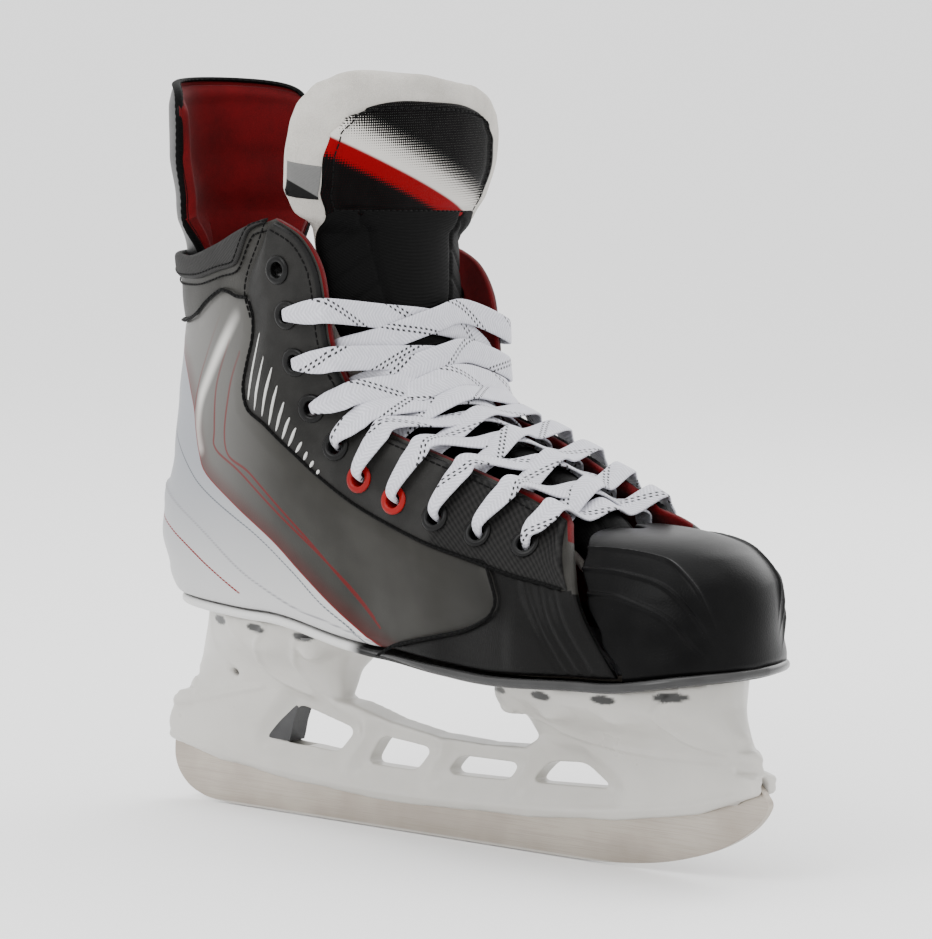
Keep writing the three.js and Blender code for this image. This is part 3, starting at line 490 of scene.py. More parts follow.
def boot_normal(x, z, side, step=0.3):
    a = boot_point(x + step, z, side) - boot_point(x - step, z, side)
    b = boot_point(x, z + step, side) - boot_point(x, z - step, side)
    n = np.cross(a, b) * -side
    return n / np.linalg.norm(n, axis=-1, keepdims=True)

def on_boot(points, side, height=0.0):
    """Side-view points lifted onto the boot. Returns the points and the way out."""
    p = np.asarray(points, float)
    n = boot_normal(p[:, 0], p[:, 1], side)
    return boot_point(p[:, 0], p[:, 1], side) + n * height, n

# %% Outline of one quarter
front_line = Line([(110, 74), (100.5, 87), (93, 100), (86, 113), (73, 124), (43, 136), (13, 146), (-7, 153),
                   (-16, 162.5), (-20, 176), (-22, 192), (-25, 208), (-33, 219), (-46, 225)])
collar_top = Line([(back_x(207), 207), (-103, 207.5), (-84, 212.5), (-67, 218.5), (-46, 225)])

def quarter_plan(a, b):
    along = np.asarray(a, float) ** 1.5
    sole_x = mix(back_x(sole_z(-130)), 110, along)
    back_z = mix(sole_z(-130) + 0.5, 207, b)
    top, front = collar_top.at(along), front_line.at(b)
    x = mix(sole_x, top[..., 0], b) + mix(back_x(back_z), front[..., 0], along)
    z = mix(sole_z(sole_x) + 0.5, top[..., 1], b) + mix(back_z, front[..., 1], along)
    for cx, cz, w in ((back_x(sole_z(-130)), sole_z(-130) + 0.5, (1 - along) * (1 - b)),
                      (110, sole_z(110) + 0.5, along * (1 - b)),
                      (back_x(207), 207, (1 - along) * b), (-46, 225, along * b)):
        x, z = x - cx * w, z - cz * w
    return np.maximum(x, back_x(z)), z

eyelet_spots = [(64, 115), (45, 118), (27, 122.5), (9, 127.5), (-7, 134), (-19, 144.5),
                (-29.5, 158), (-35, 174.5), (-38, 191), (-42, 207)]
eyelet_gap, eyelet_along = nearest_edge(*np.array(eyelet_spots, float).T)

def clear_of_eyelets(x, z, radius=3.15):
    """Which cells of a grid are kept: those that no eyelet passes through."""
    cx, cz = ((g[1:, 1:] + g[:-1, :-1]) / 2 for g in (x, z))
    keep = np.ones(cx.shape, bool)
    for ex, ez in eyelet_spots:
        keep &= np.hypot(cx - ex, cz - ez) > radius
    return keep

# %% [markdown]
# ## Quarters: the printed sides of the boot
# Each side of the boot is one moulded shell of composite with a printed film on its
# outside and red microfibre inside. The print's edges are stored as distances on the
# mesh, so that they stay sharp however the surface is lit. Raised and sunk details are
# real relief: the heel cup's lip, the pleats by the toe and the soft side panel.

# %% Print lines in the side view
panel_outline = [(-175, 181), (-150, 181), (-118, 183), (-100, 187), (-90, 192.5), (-80, 197), (-74, 197),
                 (-68, 195.6), (-61, 195.2),
                 (-57, 190), (-56.9, 180.9), (-60.5, 172), (-63.5, 164), (-63, 157.5), (-55, 152.8),
                 (-38.3, 142.6),
                 (-25.2, 133.4), (-7.4, 123.9), (20.4, 114.6), (40, 110), (49, 109.2), (53.5, 104.5),
                 (57.6, 97.5), (57.2, 93.5),
                 (53.1, 89.8), (42.7, 85.2), (29.5, 81.6), (16, 78.4), (4, 75), (-4, 66), (-30, 50),
                 (-175, 50)]
white_edge = Line([(-150, 190), (-118, 172), (-103, 155), (-99, 145), (-96.5, 137), (-92.5, 129),
                   (-75.8, 119.3), (-56.8, 107.9), (-43.7, 97.2),
                   (-29.9, 87.1), (-14.5, 78.1), (2.1, 71.2), (14, 64)])
thin_line = Line([(-140, 160), (-120, 143), (-104.1, 129.9), (-92.3, 121.6), (-67.1, 110), (-48.9, 97.5),
                  (-35.1, 86.9), (-19.9, 79), (-8, 72)])
heel_lip = Line([(-150, 127), (-125, 121.5), (-109.6, 114.5), (-95.5, 106.3), (-73.6, 93.3), (-51.1, 84.3),
                 (-30.4, 80.2), (-10, 75.5), (5, 72)])
heel_red = Line([(-150, 117), (-125, 109.5), (-111.5, 103.1), (-97.5, 94.9), (-77.3, 85.8)])
streak = Line([(-68.5, 189.2), (-75.1, 181.6), (-87, 167.8), (-95.5, 156.2), (-97.4, 146), (-95.5, 138)])
red_a = Line([(-73, 180), (-82.4, 163), (-84.4, 146.3), (-83.9, 139), (-67.1, 131.2), (-44.1, 114.6),
              (-22.6, 98.1), (-5, 83)])
red_b = Line([(-66, 176), (-73.4, 161.7), (-76.7, 139.6), (-61.3, 131.7), (-39.3, 113.2), (-19, 94),
              (-2, 80)])
red_c = Line([(-80, 188), (-96, 165), (-101, 150)])
border_outer = Line([(90, 102.3), (65.5, 104.8), (43.4, 109.4), (20.4, 114.6), (-7.4, 123.9),
                     (-25.2, 133.4), (-38.3, 142.6), (-50.5, 150.8),
                     (-60.5, 155.6), (-63.5, 163), (-61, 172), (-57.5, 181), (-57, 189), (-60.2, 197),
                     (-58.4, 204.2), (-52.5, 214), (-46.4, 224)])
panel_right = [(44, 109.4), (49.8, 108.6), (53.5, 103.9), (57.4, 97.2), (56.9, 93), (53.1, 89.5),
               (42.7, 84.9), (29.5, 81.4), (16, 78.2), (4.4, 75.1), (-4, 71)]
pleats = [Line([(67.5, 103), (71, 98), (77, 90.5), (85, 79), (91, 72), (95, 69)]),
          Line([(74, 103), (77, 98), (82, 90), (90, 79), (96, 72), (100, 69)]),
          Line([(81, 103), (84, 97.5), (89, 89), (96, 79), (101.5, 72), (105, 69)])]
collar_line = Line([(-128, 201.5), (-118, 199.5), (-108, 199.6), (-98, 200.4), (-90, 202), (-80, 204.5),
                    (-70, 206.6), (-66, 210), (-62, 216), (-57.5, 220.6), (-50, 222.6)])

def around(line, x, z):
    return distance_to(line.points[::40], x, z)

# %% Relief and print marks on a side-view grid
def skin_marks(x, z):
    panel = inside_of(panel_outline, x, z)
    below = z - np.interp(x, *np.array(sorted(map(tuple, white_edge.points[::20]))).T)
    white = around(white_edge, x, z) * np.where(below < 0, 1, -1)
    border = np.array(sorted(map(tuple, border_outer.points[:900:20]))).T
    front = np.where((x > -6) & (panel < 0) & (z < np.interp(x, *border)), -panel, -np.abs(panel))
    reds = np.minimum(around(red_a, x, z), np.minimum(around(red_b, x, z), around(red_c, x, z) + 0.1))
    return {"panel": panel, "white": white, "front": front, "reds": reds,
            "streak": around(streak, x, z), "thin": around(thin_line, x, z),
            "heel_lip": around(heel_lip, x, z), "heel_red": around(heel_red, x, z)}

def skin_relief(x, z, marks):
    lip = around(heel_lip, x, z)
    lip_side = z - np.interp(x, *np.array(sorted(map(tuple, heel_lip.points[::20]))).T)
    step = 0.9 * smooth(0.5 - lip_side / 1.6) * (x < 6)          # the heel cup stands a little proud
    ridge = 0.35 * np.exp(-(lip / 0.9) ** 2) * (x < 4)
    pillow = 0.7 * smooth(marks["panel"] / 7) - 0.5 * np.exp(-(marks["panel"] / 1.1) ** 2)
    folds = sum(np.exp(-(around(p, x, z) / 1.3) ** 2) for p in pleats) * 0.9
    between = 0.6 * smooth((marks["front"] - 0.5) / 3) * smooth((x - 60) / 8)
    return step + ridge + pillow * (z > 76) + between - folds * (marks["front"] > 0.3)

# %% The print as a finish
def print_build(t, place):
    x, y, z = t.parts(place)
    grain = t.group("leather_grain", {"Vector": place, "Scale": 1.3})
    film = t.noise(place, 0.05, 2)
    sweep = t.step(t.math("MULTIPLY_ADD", x, -0.45, z), 100, 215)
    brushed = t.blend(t.step(film, 0.3, 0.7), (0.026, 0.025, 0.0225), (0.034, 0.033, 0.030))
    silver = t.blend(sweep, (0.045, 0.0435, 0.040), (0.13, 0.127, 0.12))
    panel = t.blend(t.step(x, -30, -100), brushed, silver)
    panel = t.blend(t.step(x, 10, 60), panel, (0.020, 0.0195, 0.018))
    panel = t.blend(t.math("MULTIPLY", t.step(t.mark("streak"), 4.2, 0), t.step(z, 196, 176)), panel,
                    (0.55, 0.54, 0.51))
    panel = t.blend(t.math("MULTIPLY", t.step(t.mark("white"), -9, 0), 0.5), panel, (0.07, 0.006, 0.006))
    reds = t.math("MULTIPLY", t.step(t.mark("reds"), 0.75, 0.3), t.step(z, 196, 150))
    panel = t.blend(t.math("MULTIPLY", reds, 0.75), panel, (0.11, 0.004, 0.005))
    pale = t.blend(t.step(z, 74, 140), (0.46, 0.46, 0.46), (0.25, 0.26, 0.28))
    pale = t.blend(t.step(t.mark("thin"), 0.5, 0.2), pale, (0.09, 0.1, 0.115))
    pale = t.blend(t.math("MULTIPLY", t.step(t.mark("heel_red"), 0.55, 0.25), t.step(z, 84, 87)), pale,
                   (0.16, 0.002, 0.003))
    pale = t.blend(t.step(t.mark("heel_lip"), 0.5, 0.15), pale, (0.26, 0.26, 0.27))
    edge = t.step(t.mark("white"), -0.9, -0.2)
    panel = t.blend(t.math("MULTIPLY", edge, 0.9), panel, (0.14, 0.01, 0.01))
    colour = t.blend(t.step(t.mark("white"), -0.15, 0.15), panel, pale)
    leather = t.blend(grain["Shade"], (0.022, 0.021, 0.019), (0.032, 0.031, 0.028))
    inside = t.step(t.mark("panel"), -0.15, 0.15)
    colour = t.blend(inside, leather, colour)
    black = t.step(t.mark("front"), 0.1, 0.5)
    colour = t.blend(black, colour, (0.0028, 0.0027, 0.0026))
    metal = t.math("MULTIPLY", t.math("MULTIPLY", inside, t.step(t.mark("white"), 0.2, -0.2)), 0.35)
    rough = t.math("MULTIPLY_ADD", black, -0.12, t.math("MULTIPLY", inside, -0.03))
    return colour, t.math("MULTIPLY", grain["Height"], t.math("MULTIPLY_ADD", inside, -0.8,
                                                              1.0)), rough, metal

quarter_print = finish("quarter_print", print_build, 0.42, bump=0.06, shine=0.08)

# %% Quarter shells
a, b = np.meshgrid(np.linspace(0, 1, 330), stations(180, 0.012), indexing="ij")
plan_x, plan_z = quarter_plan(a, b)
marks = skin_marks(plan_x, plan_z)
relief = skin_relief(plan_x, plan_z, marks)
soft_rim = rim(b, 0.012)
for label, side in (("inner", INNER), ("outer", OUTER)):
    p = boot_point(plan_x, plan_z, side)
    p[..., 1] = side * np.maximum(np.abs(p[..., 1]), 0.15)
    n = boot_normal(plan_x, plan_z, side)
    n[0] = (-1, 0, 0)
    front = p + n * (relief * rim(b, 0.03) - 1.2 + 1.2 * soft_rim)[..., None]
    back = p - n * (1.2 + 1.2 * soft_rim)[..., None]
    skin = slab(f"quarter_{label}_shell", front, back, quarter_print, marks,
                clear_of_eyelets(plan_x, plan_z), lining_red)
    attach(skin, "boot")
    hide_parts(f"quarter_{label}")
print("quarter faces", len(skin.data.polygons))

# %% [markdown]
# ## Facings: the eyelet bands
# The band that carries the eyelets is a second layer, thick at the lacing edge and
# feathered out where it meets the side panel. The toe end is a ribbed cloth, the rest a
# matt synthetic leather. Thin bright ribs are moulded into its wide lower corner.

# %% Facing sheets
def facing_plan(u, v, inset=1.0):
    g, o = gap_edge.at(u), border_outer.at(u)
    d = o - g
    r = np.linalg.norm(d, axis=-1, keepdims=True)
    return g + d * (v[..., None] * (1 - inset / np.maximum(r, 2)) + inset / np.maximum(r, 2))

FACING_TOP = 2.55
def facing_height(v):
    return mix(FACING_TOP, 0.9, smooth((v - 0.62) / 0.38))

def facing_build(t, place):
    x, y, z = t.parts(place)
    grain = t.group("leather_grain", {"Vector": place, "Scale": 1.6})
    cloth = t.group("woven_rib", {"Vector": place, "Pitch": 1.9})
    leather = t.blend(grain["Shade"], (0.0095, 0.0092, 0.0085), (0.017, 0.0165, 0.0155))
    rib = t.blend(cloth["Height"], (0.0015, 0.0015, 0.0015), (0.013, 0.0125, 0.012))
    woven_part = t.step(x, 24, 27)
    colour = t.blend(woven_part, leather, rib)
    colour = t.blend(t.step(t.mark("edge"), 1.6, 0.4), colour, (0.005, 0.005, 0.005))
    height = t.math("ADD", t.math("MULTIPLY", cloth["Height"], t.math("MULTIPLY", woven_part, 1.6)),
                    t.math("MULTIPLY", grain["Height"], 0.6))
    return colour, height, t.math("MULTIPLY", woven_part, 0.1)

facing_skin = finish("facing_skin", facing_build, 0.48, bump=0.1, shine=0.12)
u, v = np.meshgrid(np.r_[stations(330, 0.012)] * 0.985 + 0.004, stations(44, 0.05), indexing="ij")
spots = facing_plan(u, v)
edge_mark = np.minimum(v, 0.5) * np.linalg.norm(border_outer.at(u) - gap_edge.at(u), axis=-1)
rounding = rim(v, 0.06) * rim((u - 0.004) / 0.985, 0.012)
for label, side in (("inner", INNER), ("outer", OUTER)):
    p = boot_point(spots[..., 0], spots[..., 1], side)
    n = boot_normal(spots[..., 0], spots[..., 1], side)
    front = p + n * (0.15 + (facing_height(v) - 0.15) * rounding)[..., None]
    band = slab(f"facing_{label}_band", front, p - n * 0.2, facing_skin, {"edge": edge_mark},
                clear_of_eyelets(spots[..., 0], spots[..., 1]))
    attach(band, "boot")
    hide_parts(f"facing_{label}")

# %% Bright ribs
rib_silver = finish("rib_silver", plain((0.42, 0.42, 0.40), (0.55, 0.55, 0.53)), 0.35, 0.0, bump=0.02)
rib_tops = [(-52, 184.1), (-47.9, 179), (-45, 172), (-42.8, 165.6), (-40.1, 159.7), (-37.8, 154.4),
            (-35.1, 150.7),
            (-32.7, 145.8), (-30.5, 142.4), (-27.8, 139.3), (-25.4, 136.2)]
rib_feet = [(-59.9, 159.1), (-56, 155.8), (-51.6, 153.9), (-47.9, 151), (-44.4, 149), (-41.5, 146.4),
            (-38.8, 144),
            (-35.6, 141.9), (-32.2, 139.4), (-29.5, 137), (-26.6, 134.8)]
def facing_lift(x, z):
    """How high the facing's face stands over the boot at a side-view place."""
    gap, _ = nearest_edge(x, z)
    far = distance_to(border_outer.points[::40], x, z)
    return facing_height(gap / np.maximum(gap + far, 1e-6))

for label, side in (("inner", INNER), ("outer", OUTER)):
    runs = []
    for top, foot in zip(rib_tops, rib_feet):
        line = Line([top, foot], 20, straight=True).points
        lift = facing_lift(line[:, 0], line[:, 1])
        p, n = on_boot(line, side, 0)
        share = np.linspace(0, 1, len(line))
        runs.append((p + n * (lift + 0.05)[:, None], 0.16 + 0.5 * np.sin(np.pi * share) ** 0.6, n))
    ribs = tubes(f"ribs_{label}", runs, rib_silver, sides=6, flat=0.8)
    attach(ribs, "boot")

# %% [markdown]
# ## Thread
# Stitches are made once as a short fat capsule and laid along each seam by a Geometry
# Nodes tool with a pitch input. The result is turned into a plain mesh at the end, so
# that it rides with the boot like any other piece.

# %% Laying tool
def add_input(group, name, kind, value=None):
    made = group.interface.new_socket(name, in_out="INPUT", socket_type=kind)
    if value is not None:
        made.default_value = value
    return made.identifier

def laying_tool(name, along_curves):
    """Copies of an object along curves at a pitch, or on points with a way out."""
    group = bpy.data.node_groups.new(name, "GeometryNodeTree")
    group.is_modifier = True
    ids = {"Geometry": add_input(group, "Geometry", "NodeSocketGeometry"),
           "Copy": add_input(group, "Copy", "NodeSocketObject"),
           "Pitch": add_input(group, "Pitch", "NodeSocketFloat", 0.0026),
           "Wobble": add_input(group, "Wobble", "NodeSocketFloat", 0.06),
           "Seed": add_input(group, "Seed", "NodeSocketInt", 3),
           "Material": add_input(group, "Material", "NodeSocketMaterial")}
    group.interface.new_socket("Geometry", in_out="OUTPUT", socket_type="NodeSocketGeometry")
    t = Tree(group)
    given = t.node("NodeGroupInput").outputs
    if along_curves:
        curve = t.node("GeometryNodeMeshToCurve", {"Mesh": given["Geometry"]}).outputs[0]
        run = t.node("GeometryNodeCurveToPoints", {"Curve": curve, "Length": given["Pitch"]}, mode="LENGTH")
        points, turn = run.outputs["Points"], run.outputs["Rotation"]
    else:
        way = t.node("GeometryNodeInputNamedAttribute", {"Name": "way_out"}, data_type="FLOAT_VECTOR")
        points = given["Geometry"]
        turn = t.node("FunctionNodeAlignRotationToVector", {"Vector": way.outputs["Attribute"]},
                      axis="Z").outputs[0]
    low = t.math("SUBTRACT", 1.0, given["Wobble"])
    high = t.math("ADD", 1.0, given["Wobble"])
    size = t.node("FunctionNodeRandomValue", data_type="FLOAT")
    for socket in size.inputs:
        if socket.enabled and socket.name in ("Min", "Max", "Seed"):
            t.put(socket, {"Min": low, "Max": high, "Seed": given["Seed"]}[socket.name])
    amount = next(s for s in size.outputs if s.enabled)
    shape = t.node("GeometryNodeObjectInfo", {"Object": given["Copy"]}, transform_space="ORIGINAL")
    laid = t.node("GeometryNodeInstanceOnPoints", {"Points": points, "Instance": shape.outputs["Geometry"],
                                                   "Rotation": turn, "Scale": amount})
    real = t.node("GeometryNodeRealizeInstances", {0: laid.outputs[0]})
    painted = t.node("GeometryNodeSetMaterial", {"Geometry": real.outputs[0],
                                                 "Material": given["Material"]})
    t.put(t.node("NodeGroupOutput").inputs[0], painted.outputs[0])
    return group, ids

row_tool, row_ids = laying_tool("row_of_copies", True)
spot_tool, spot_ids = laying_tool("copies_on_spots", False)

def lay(name, carrier, tool, ids, copy, material, pitch=0.0026, wobble=0.05, seed=3):
    layer = carrier.modifiers.new("lay", "NODES")
    layer.node_group = tool
    for key, value in (("Copy", copy), ("Pitch", pitch), ("Wobble", wobble), ("Seed", seed),
                       ("Material", material)):
        layer[ids[key]] = value
    bpy.context.view_layer.update()
    seen = carrier.evaluated_get(bpy.context.evaluated_depsgraph_get())
    mesh = bpy.data.meshes.new_from_object(seen, preserve_all_data_layers=True,
                                           depsgraph=bpy.context.evaluated_depsgraph_get())
    bpy.data.objects.remove(carrier)
    made = bpy.data.objects.new(name, mesh)
    mesh.name = name
    bpy.context.scene.collection.objects.link(made)
    mesh.polygons.foreach_set("use_smooth", [True] * len(mesh.polygons))
    if not len(mesh.polygons):
        raise RuntimeError(f"{name} came out empty")
    return made

def carrier_of(name, runs):
    """An object of bare polylines for the laying tool."""
    points, edges = [], []
    for run in runs:
        start = len(points)
        points += [tuple(q) for q in np.asarray(run) * MM]
        edges += [(start + i, start + i + 1) for i in range(len(run) - 1)]
    mesh = bpy.data.meshes.new(name)
    mesh.from_pydata(points, edges, [])
    made = bpy.data.objects.new(name, mesh)
    bpy.context.scene.collection.objects.link(made)
    return made

def lathe(name, profile, sides=32):
    """A turned shape round Z from [radius, height] pairs."""
    ring = np.linspace(0, 2 * np.pi, sides, endpoint=False)
    points = [(r * math.cos(w), r * math.sin(w), h) for r, h in profile for w in ring]
    made = make_object(name, points, grid_faces(len(profile), sides, wrap=True))
    made.hide_render = True
    return made

def capsule(name, length, radius):
    half = length / 2
    turns = np.linspace(-np.pi / 2, np.pi / 2, 7)
    profile = [(max(radius * math.cos(w), 0.02), math.copysign(half - radius, w) + radius * math.sin(w)
                if abs(w) > 1e-6 else 0) for w in turns]
    return lathe(name, profile, 8)

stitch_copy = capsule("stitch_copy", 2.2, 0.34)
small_stitch = capsule("small_stitch", 1.7, 0.26)

# %% Seams on the boot's sides
def shifted(points, amount):
    p = np.asarray(points, float)
    d = np.gradient(p, axis=0)
    d /= np.linalg.norm(d, axis=1, keepdims=True)
    return p + np.stack([-d[:, 1], d[:, 0]], 1) * amount

def seam(line, side, lift, first=0.0, last=1.0, shift=0.0, count=500):
    path = line.at(np.linspace(first, last, count))
    if shift:
        path = shifted(path, shift)
    p, n = on_boot(path, side)
    height = lift(path[:, 0], path[:, 1]) if callable(lift) else lift
    return p + n * np.reshape(height, (-1, 1)), n

right_border = Line(panel_right, 900)
top_border = Line([(-126, 183), (-112, 184), (-100, 187.5), (-90, 192.8), (-80, 197.2), (-74, 197.2),
                   (-68, 196), (-61, 196)], 700)
for label, side in (("inner", INNER), ("outer", OUTER)):
    cords = [(*seam(line, side, 0.75), 0.7) for line in (Line(border_outer.at(np.linspace(0.02, 0.86, 60))),
                                                         right_border, top_border)]
    cord_piece = tubes(f"piping_{label}", [(p, r, n) for p, n, r in cords], thread_black, sides=8,
                       flat=0.75)
    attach(cord_piece, "boot")
    rows = []
    for line, first, last, shift, lift in (
            (border_outer, 0.02, 0.86, 0.0, 1.25), (right_border, 0, 1, 0, 1.25), (top_border, 0, 1, 0,
                    1.25),
            (border_outer, 0.84, 0.99, 1.6, facing_lift), (border_outer, 0.80, 0.99, -1.8, 0.45),
            (border_outer, 0.80, 0.99, -4.6, 0.45),
            (gap_edge, 0.62, 0.985, 3.6, facing_lift), (gap_edge, 0.02, 0.62, 3.2, facing_lift),
            (collar_line, 0, 1, 1.6, 1.4), (collar_line, 0, 1, -2.2, 0.4)):
        rows.append(seam(line, side, lift, first, last, shift)[0])
    thread = lay(f"stitches_{label}", carrier_of("rows", rows), row_tool, row_ids, stitch_copy,
                 thread_black, 0.0026)
    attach(thread, "boot")
print("stitch faces", len(thread.data.polygons))

# %% [markdown]
# ## Eyelets
# Twenty rolled metal rings, ten a side, the fourth and fifth from the toe enamelled red.
# Each is turned as one ring: a barrel through the wall and a round flange outside.

# %% Eyelet rings
ring_profile = [(2.75, -4.6), (2.7, -1.0), (2.72, 2.6), (2.8, 3.1), (3.15, 3.45), (3.7, 3.62), (4.4, 3.55),
                (4.95, 3.25),
                (5.2, 2.85), (5.15, 2.5), (4.6, 2.4), (3.4, 2.4), (3.4, -1.0), (3.4, -4.3), (4.0, -4.5),
                (3.9, -4.8), (3.2, -4.85), (2.75, -4.6)]
eyelet_copy = lathe("eyelet_copy", ring_profile, 40)

def spots_of(name, points, ways):
    mesh = bpy.data.meshes.new(name)
    mesh.from_pydata((np.asarray(points) * MM).tolist(), [], [])
    mesh.attributes.new("way_out", "FLOAT_VECTOR", "POINT").data.foreach_set("vector", np.asarray(ways,
            np.float32).ravel())
    made = bpy.data.objects.new(name, mesh)
    bpy.context.scene.collection.objects.link(made)
    return made

for colour, rows, paint in (("black", (0, 1, 2, 5, 6, 7, 8, 9), eyelet_black), ("red", (3, 4), eyelet_red)):
    points, ways, nodes = [], [], []
    for label, side in (("inner", INNER), ("outer", OUTER)):
        p, n = on_boot([eyelet_spots[r] for r in rows], side)
        points.append(p)
        ways.append(n)
        nodes += [f"eyelet_{label}_{r + 1:02d}" for r in rows]
    rings = lay(f"eyelets_{colour}", spots_of("spots", np.vstack(points), np.vstack(ways)),
                spot_tool, spot_ids, eyelet_copy, paint, wobble=0.0)
    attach(rings, "boot")
    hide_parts(*nodes)
    gap = (Vector(np.vstack(points)[0] * MM) - (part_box(nodes[0])[0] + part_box(nodes[0])[1]) / 2).length / MM
    print(colour, "first eyelet is", round(gap, 2), "mm from its CAD ring's middle")

# %% [markdown]
# ## Soft pads
# Foam and felt swell between their seams. `puff` lets a pad swell a little under its own
# pressure as cloth for a few frames, holds the swelling to a limit, and keeps the result.

# %% Swelling under pressure
def puff(made, limit, pressure=4.0, frames=18):
    rest = np.array([v.co for v in made.data.vertices], float)
    cloth = made.modifiers.new("cloth", "CLOTH")
    cloth.settings.use_pressure = True
    cloth.settings.uniform_pressure_force = pressure
    cloth.settings.effector_weights.gravity = 0
    cloth.settings.mass = 0.3
    cloth.settings.tension_stiffness = cloth.settings.compression_stiffness = 25
    cloth.settings.quality = 4
    scene = bpy.context.scene
    for frame_number in range(1, frames + 1):
        scene.frame_set(frame_number)
    seen = made.evaluated_get(bpy.context.evaluated_depsgraph_get())
    swollen = np.array([v.co for v in seen.data.vertices], float)
    made.modifiers.clear()
    scene.frame_set(1)
    move = swollen - rest
    far = np.linalg.norm(move, axis=1, keepdims=True)
    move *= np.minimum(1, limit * MM / np.maximum(far, 1e-9))
    made.data.vertices.foreach_set("co", (rest + move).ravel().astype(np.float32))
    made.data.update()
    print(made.name, "swelled by up to", round(float(np.linalg.norm(move, axis=1).max()) / MM, 2), "mm")
    return made

def refine(made, levels=1):
    soft = made.modifiers.new("soft", "SUBSURF")
    soft.levels = soft.render_levels = levels
    bpy.context.view_layer.update()
    graph = bpy.context.evaluated_depsgraph_get()
    mesh = bpy.data.meshes.new_from_object(made.evaluated_get(graph), preserve_all_data_layers=True,
                                           depsgraph=graph)
    made.modifiers.clear()
    made.data = mesh
    mesh.polygons.foreach_set("use_smooth", [True] * len(mesh.polygons))
    return made

# %% [markdown]
# ## Collar and liner
# A woven band finishes the top of the boot. It is doubled over the edge, so it has a soft
# round top. The red liner behind it is foam under brushed microfibre.

# %% Collar band
collar_low = Line([(back_x(201.5), 201.5), (-128, 201.2), (-118, 199.6), (-108, 199.6), (-98, 200.4),
                   (-90, 202), (-80, 204.5), (-70, 206.8), (-66, 210), (-62, 216), (-58, 220.8),
                   (-51, 223.2)])
collar_high = Line([(back_x(207), 208.2), (-118, 208), (-103, 208.7), (-84, 213.7), (-67, 219.7),
                    (-50, 225)])
u, v = np.meshgrid(np.linspace(-1, 1, 361), stations(22, 0.12), indexing="ij")
s = np.abs(u) ** 1.3
plan = mix(collar_low.at(s), collar_high.at(s), v[..., None])
p = np.where(u[..., None] < 0, boot_point(np.maximum(plan[..., 0], back_x(plan[..., 1])), plan[..., 1],
                                          INNER),
             boot_point(np.maximum(plan[..., 0], back_x(plan[..., 1])), plan[..., 1], OUTER))
def facing_out(p, centre):
    """Grid normals turned to point away from a middle line."""
    n = grid_normals(p)
    away = p - np.asarray(centre, float)
    return n * np.where((n * away).sum(-1, keepdims=True) < 0, -1, 1)

n = facing_out(p, (-60, 0, 200))
round_edge = rim(v, 0.2) * rim((u + 1) / 2, 0.01)
band_skin = finish("band_skin", woven((0.010, 0.010, 0.010), (0.03, 0.029, 0.028), 1.3), 0.65, bump=0.15,
                   shine=0.1)
collar = slab("collar_band_cloth", p + n * (0.2 + 1.2 * round_edge)[..., None],
              p - n * (0.9 + 0.9 * round_edge)[..., None], band_skin)
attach(collar, "boot")
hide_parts("collar_band")

# %% Liner
def wrap(a_share, low, high, count_u, count_v, lift):
    u, v = np.meshgrid(np.linspace(-1, 1, count_u), np.linspace(0, 1, count_v), indexing="ij")
    a = np.abs(u)
    x, z = quarter_plan(a * a_share, mix(low, high(a), v))
    p = np.where(u[..., None] < 0, boot_point(x, z, INNER), boot_point(x, z, OUTER))
    n = facing_out(p, (-40, 0, 150))
    return p + n * np.reshape(lift(u, v), u.shape + (1,)), p, n, u, v

liner_top = lambda a: mix(0.9, 0.985, smooth(a * 1.6))
_, p, n, u, v = wrap(0.83, 0.06, liner_top, 121, 36, lambda u, v: 0 * u)
lining = slab("liner_foam", p - n * 3.0, p - n * 6.4, lining_red)
puff(lining, 0.9, 2.5)
refine(lining)
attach(lining, "boot")
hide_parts("liner")

# %% [markdown]
# ## Tendon guard
# A thin moulded shell carries the heel's line up behind the ankle. It has a bound edge
# and a soft red pad inside, and bends back a little when the foot points down.

# %% Guard
def guard_point(u, v):
    across = 2 * u - 1
    reach = mix(26, 31, v) * np.sin(np.abs(across) * np.pi / 2) ** 2
    top = 271.5 - 5 * np.abs(across) ** 2 - 9 * np.abs(across) ** 6
    z = mix(197.5, top, v)
    x = back_x(z) + reach
    half = mix(36.5, 38.5, v) * np.sin(across * np.pi / 2)
    fit = boot_point(x, np.minimum(z, 207), INNER)[..., 1]
    return np.stack([x, mix(half, -np.sign(across) * fit, 1 - smooth((z - 207) / 14)), z], -1)

u, v = np.meshgrid(stations(120, 0.02), stations(90, 0.03), indexing="ij")
p = guard_point(u, v)
n = facing_out(p, (-90, 0, 230))
crest = 0.8 * np.exp(-((u - 0.5) / 0.1) ** 2) * smooth((v - 0.15) / 0.2) - 0.5 * np.exp(
        -((np.abs(u - 0.5) - 0.2) / 0.018) ** 2) * smooth((v - 0.2) / 0.1)
edge = rim(u, 0.02) * rim(v, 0.03)
guard = slab("tendon_guard_shell", p - n * (4.3 - edge - crest * edge)[..., None], p - n * (4.3 + edge)[...,
        None], satin_black, inner_material=lining_red)
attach(guard, "tendon_guard")
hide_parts("tendon_guard")
t = np.linspace(0, 1, 160)
bound_uv = np.vstack([np.stack([0 * t + 0.004, mix(0.08, 0.99, t)], 1), np.stack([mix(0.01, 0.99, t),
        0 * t + 0.997], 1), np.stack([0 * t + 0.996, mix(0.99, 0.08, t)], 1)])
p = guard_point(bound_uv[:, 0], bound_uv[:, 1])
out = np.stack([p[:, 0] + 95, p[:, 1], 0 * t.repeat(3)], 1)
out /= np.linalg.norm(out, axis=1, keepdims=True)
path = p - out * 4.6
path = np.array([np.convolve(np.pad(c, 6, mode="edge"), np.ones(13) / 13, "valid") for c in path.T]).T
binding = tubes("tendon_guard_binding", [(path, 0.85, out)], cloth_black, sides=12, flat=1.8)
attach(binding, "tendon_guard")
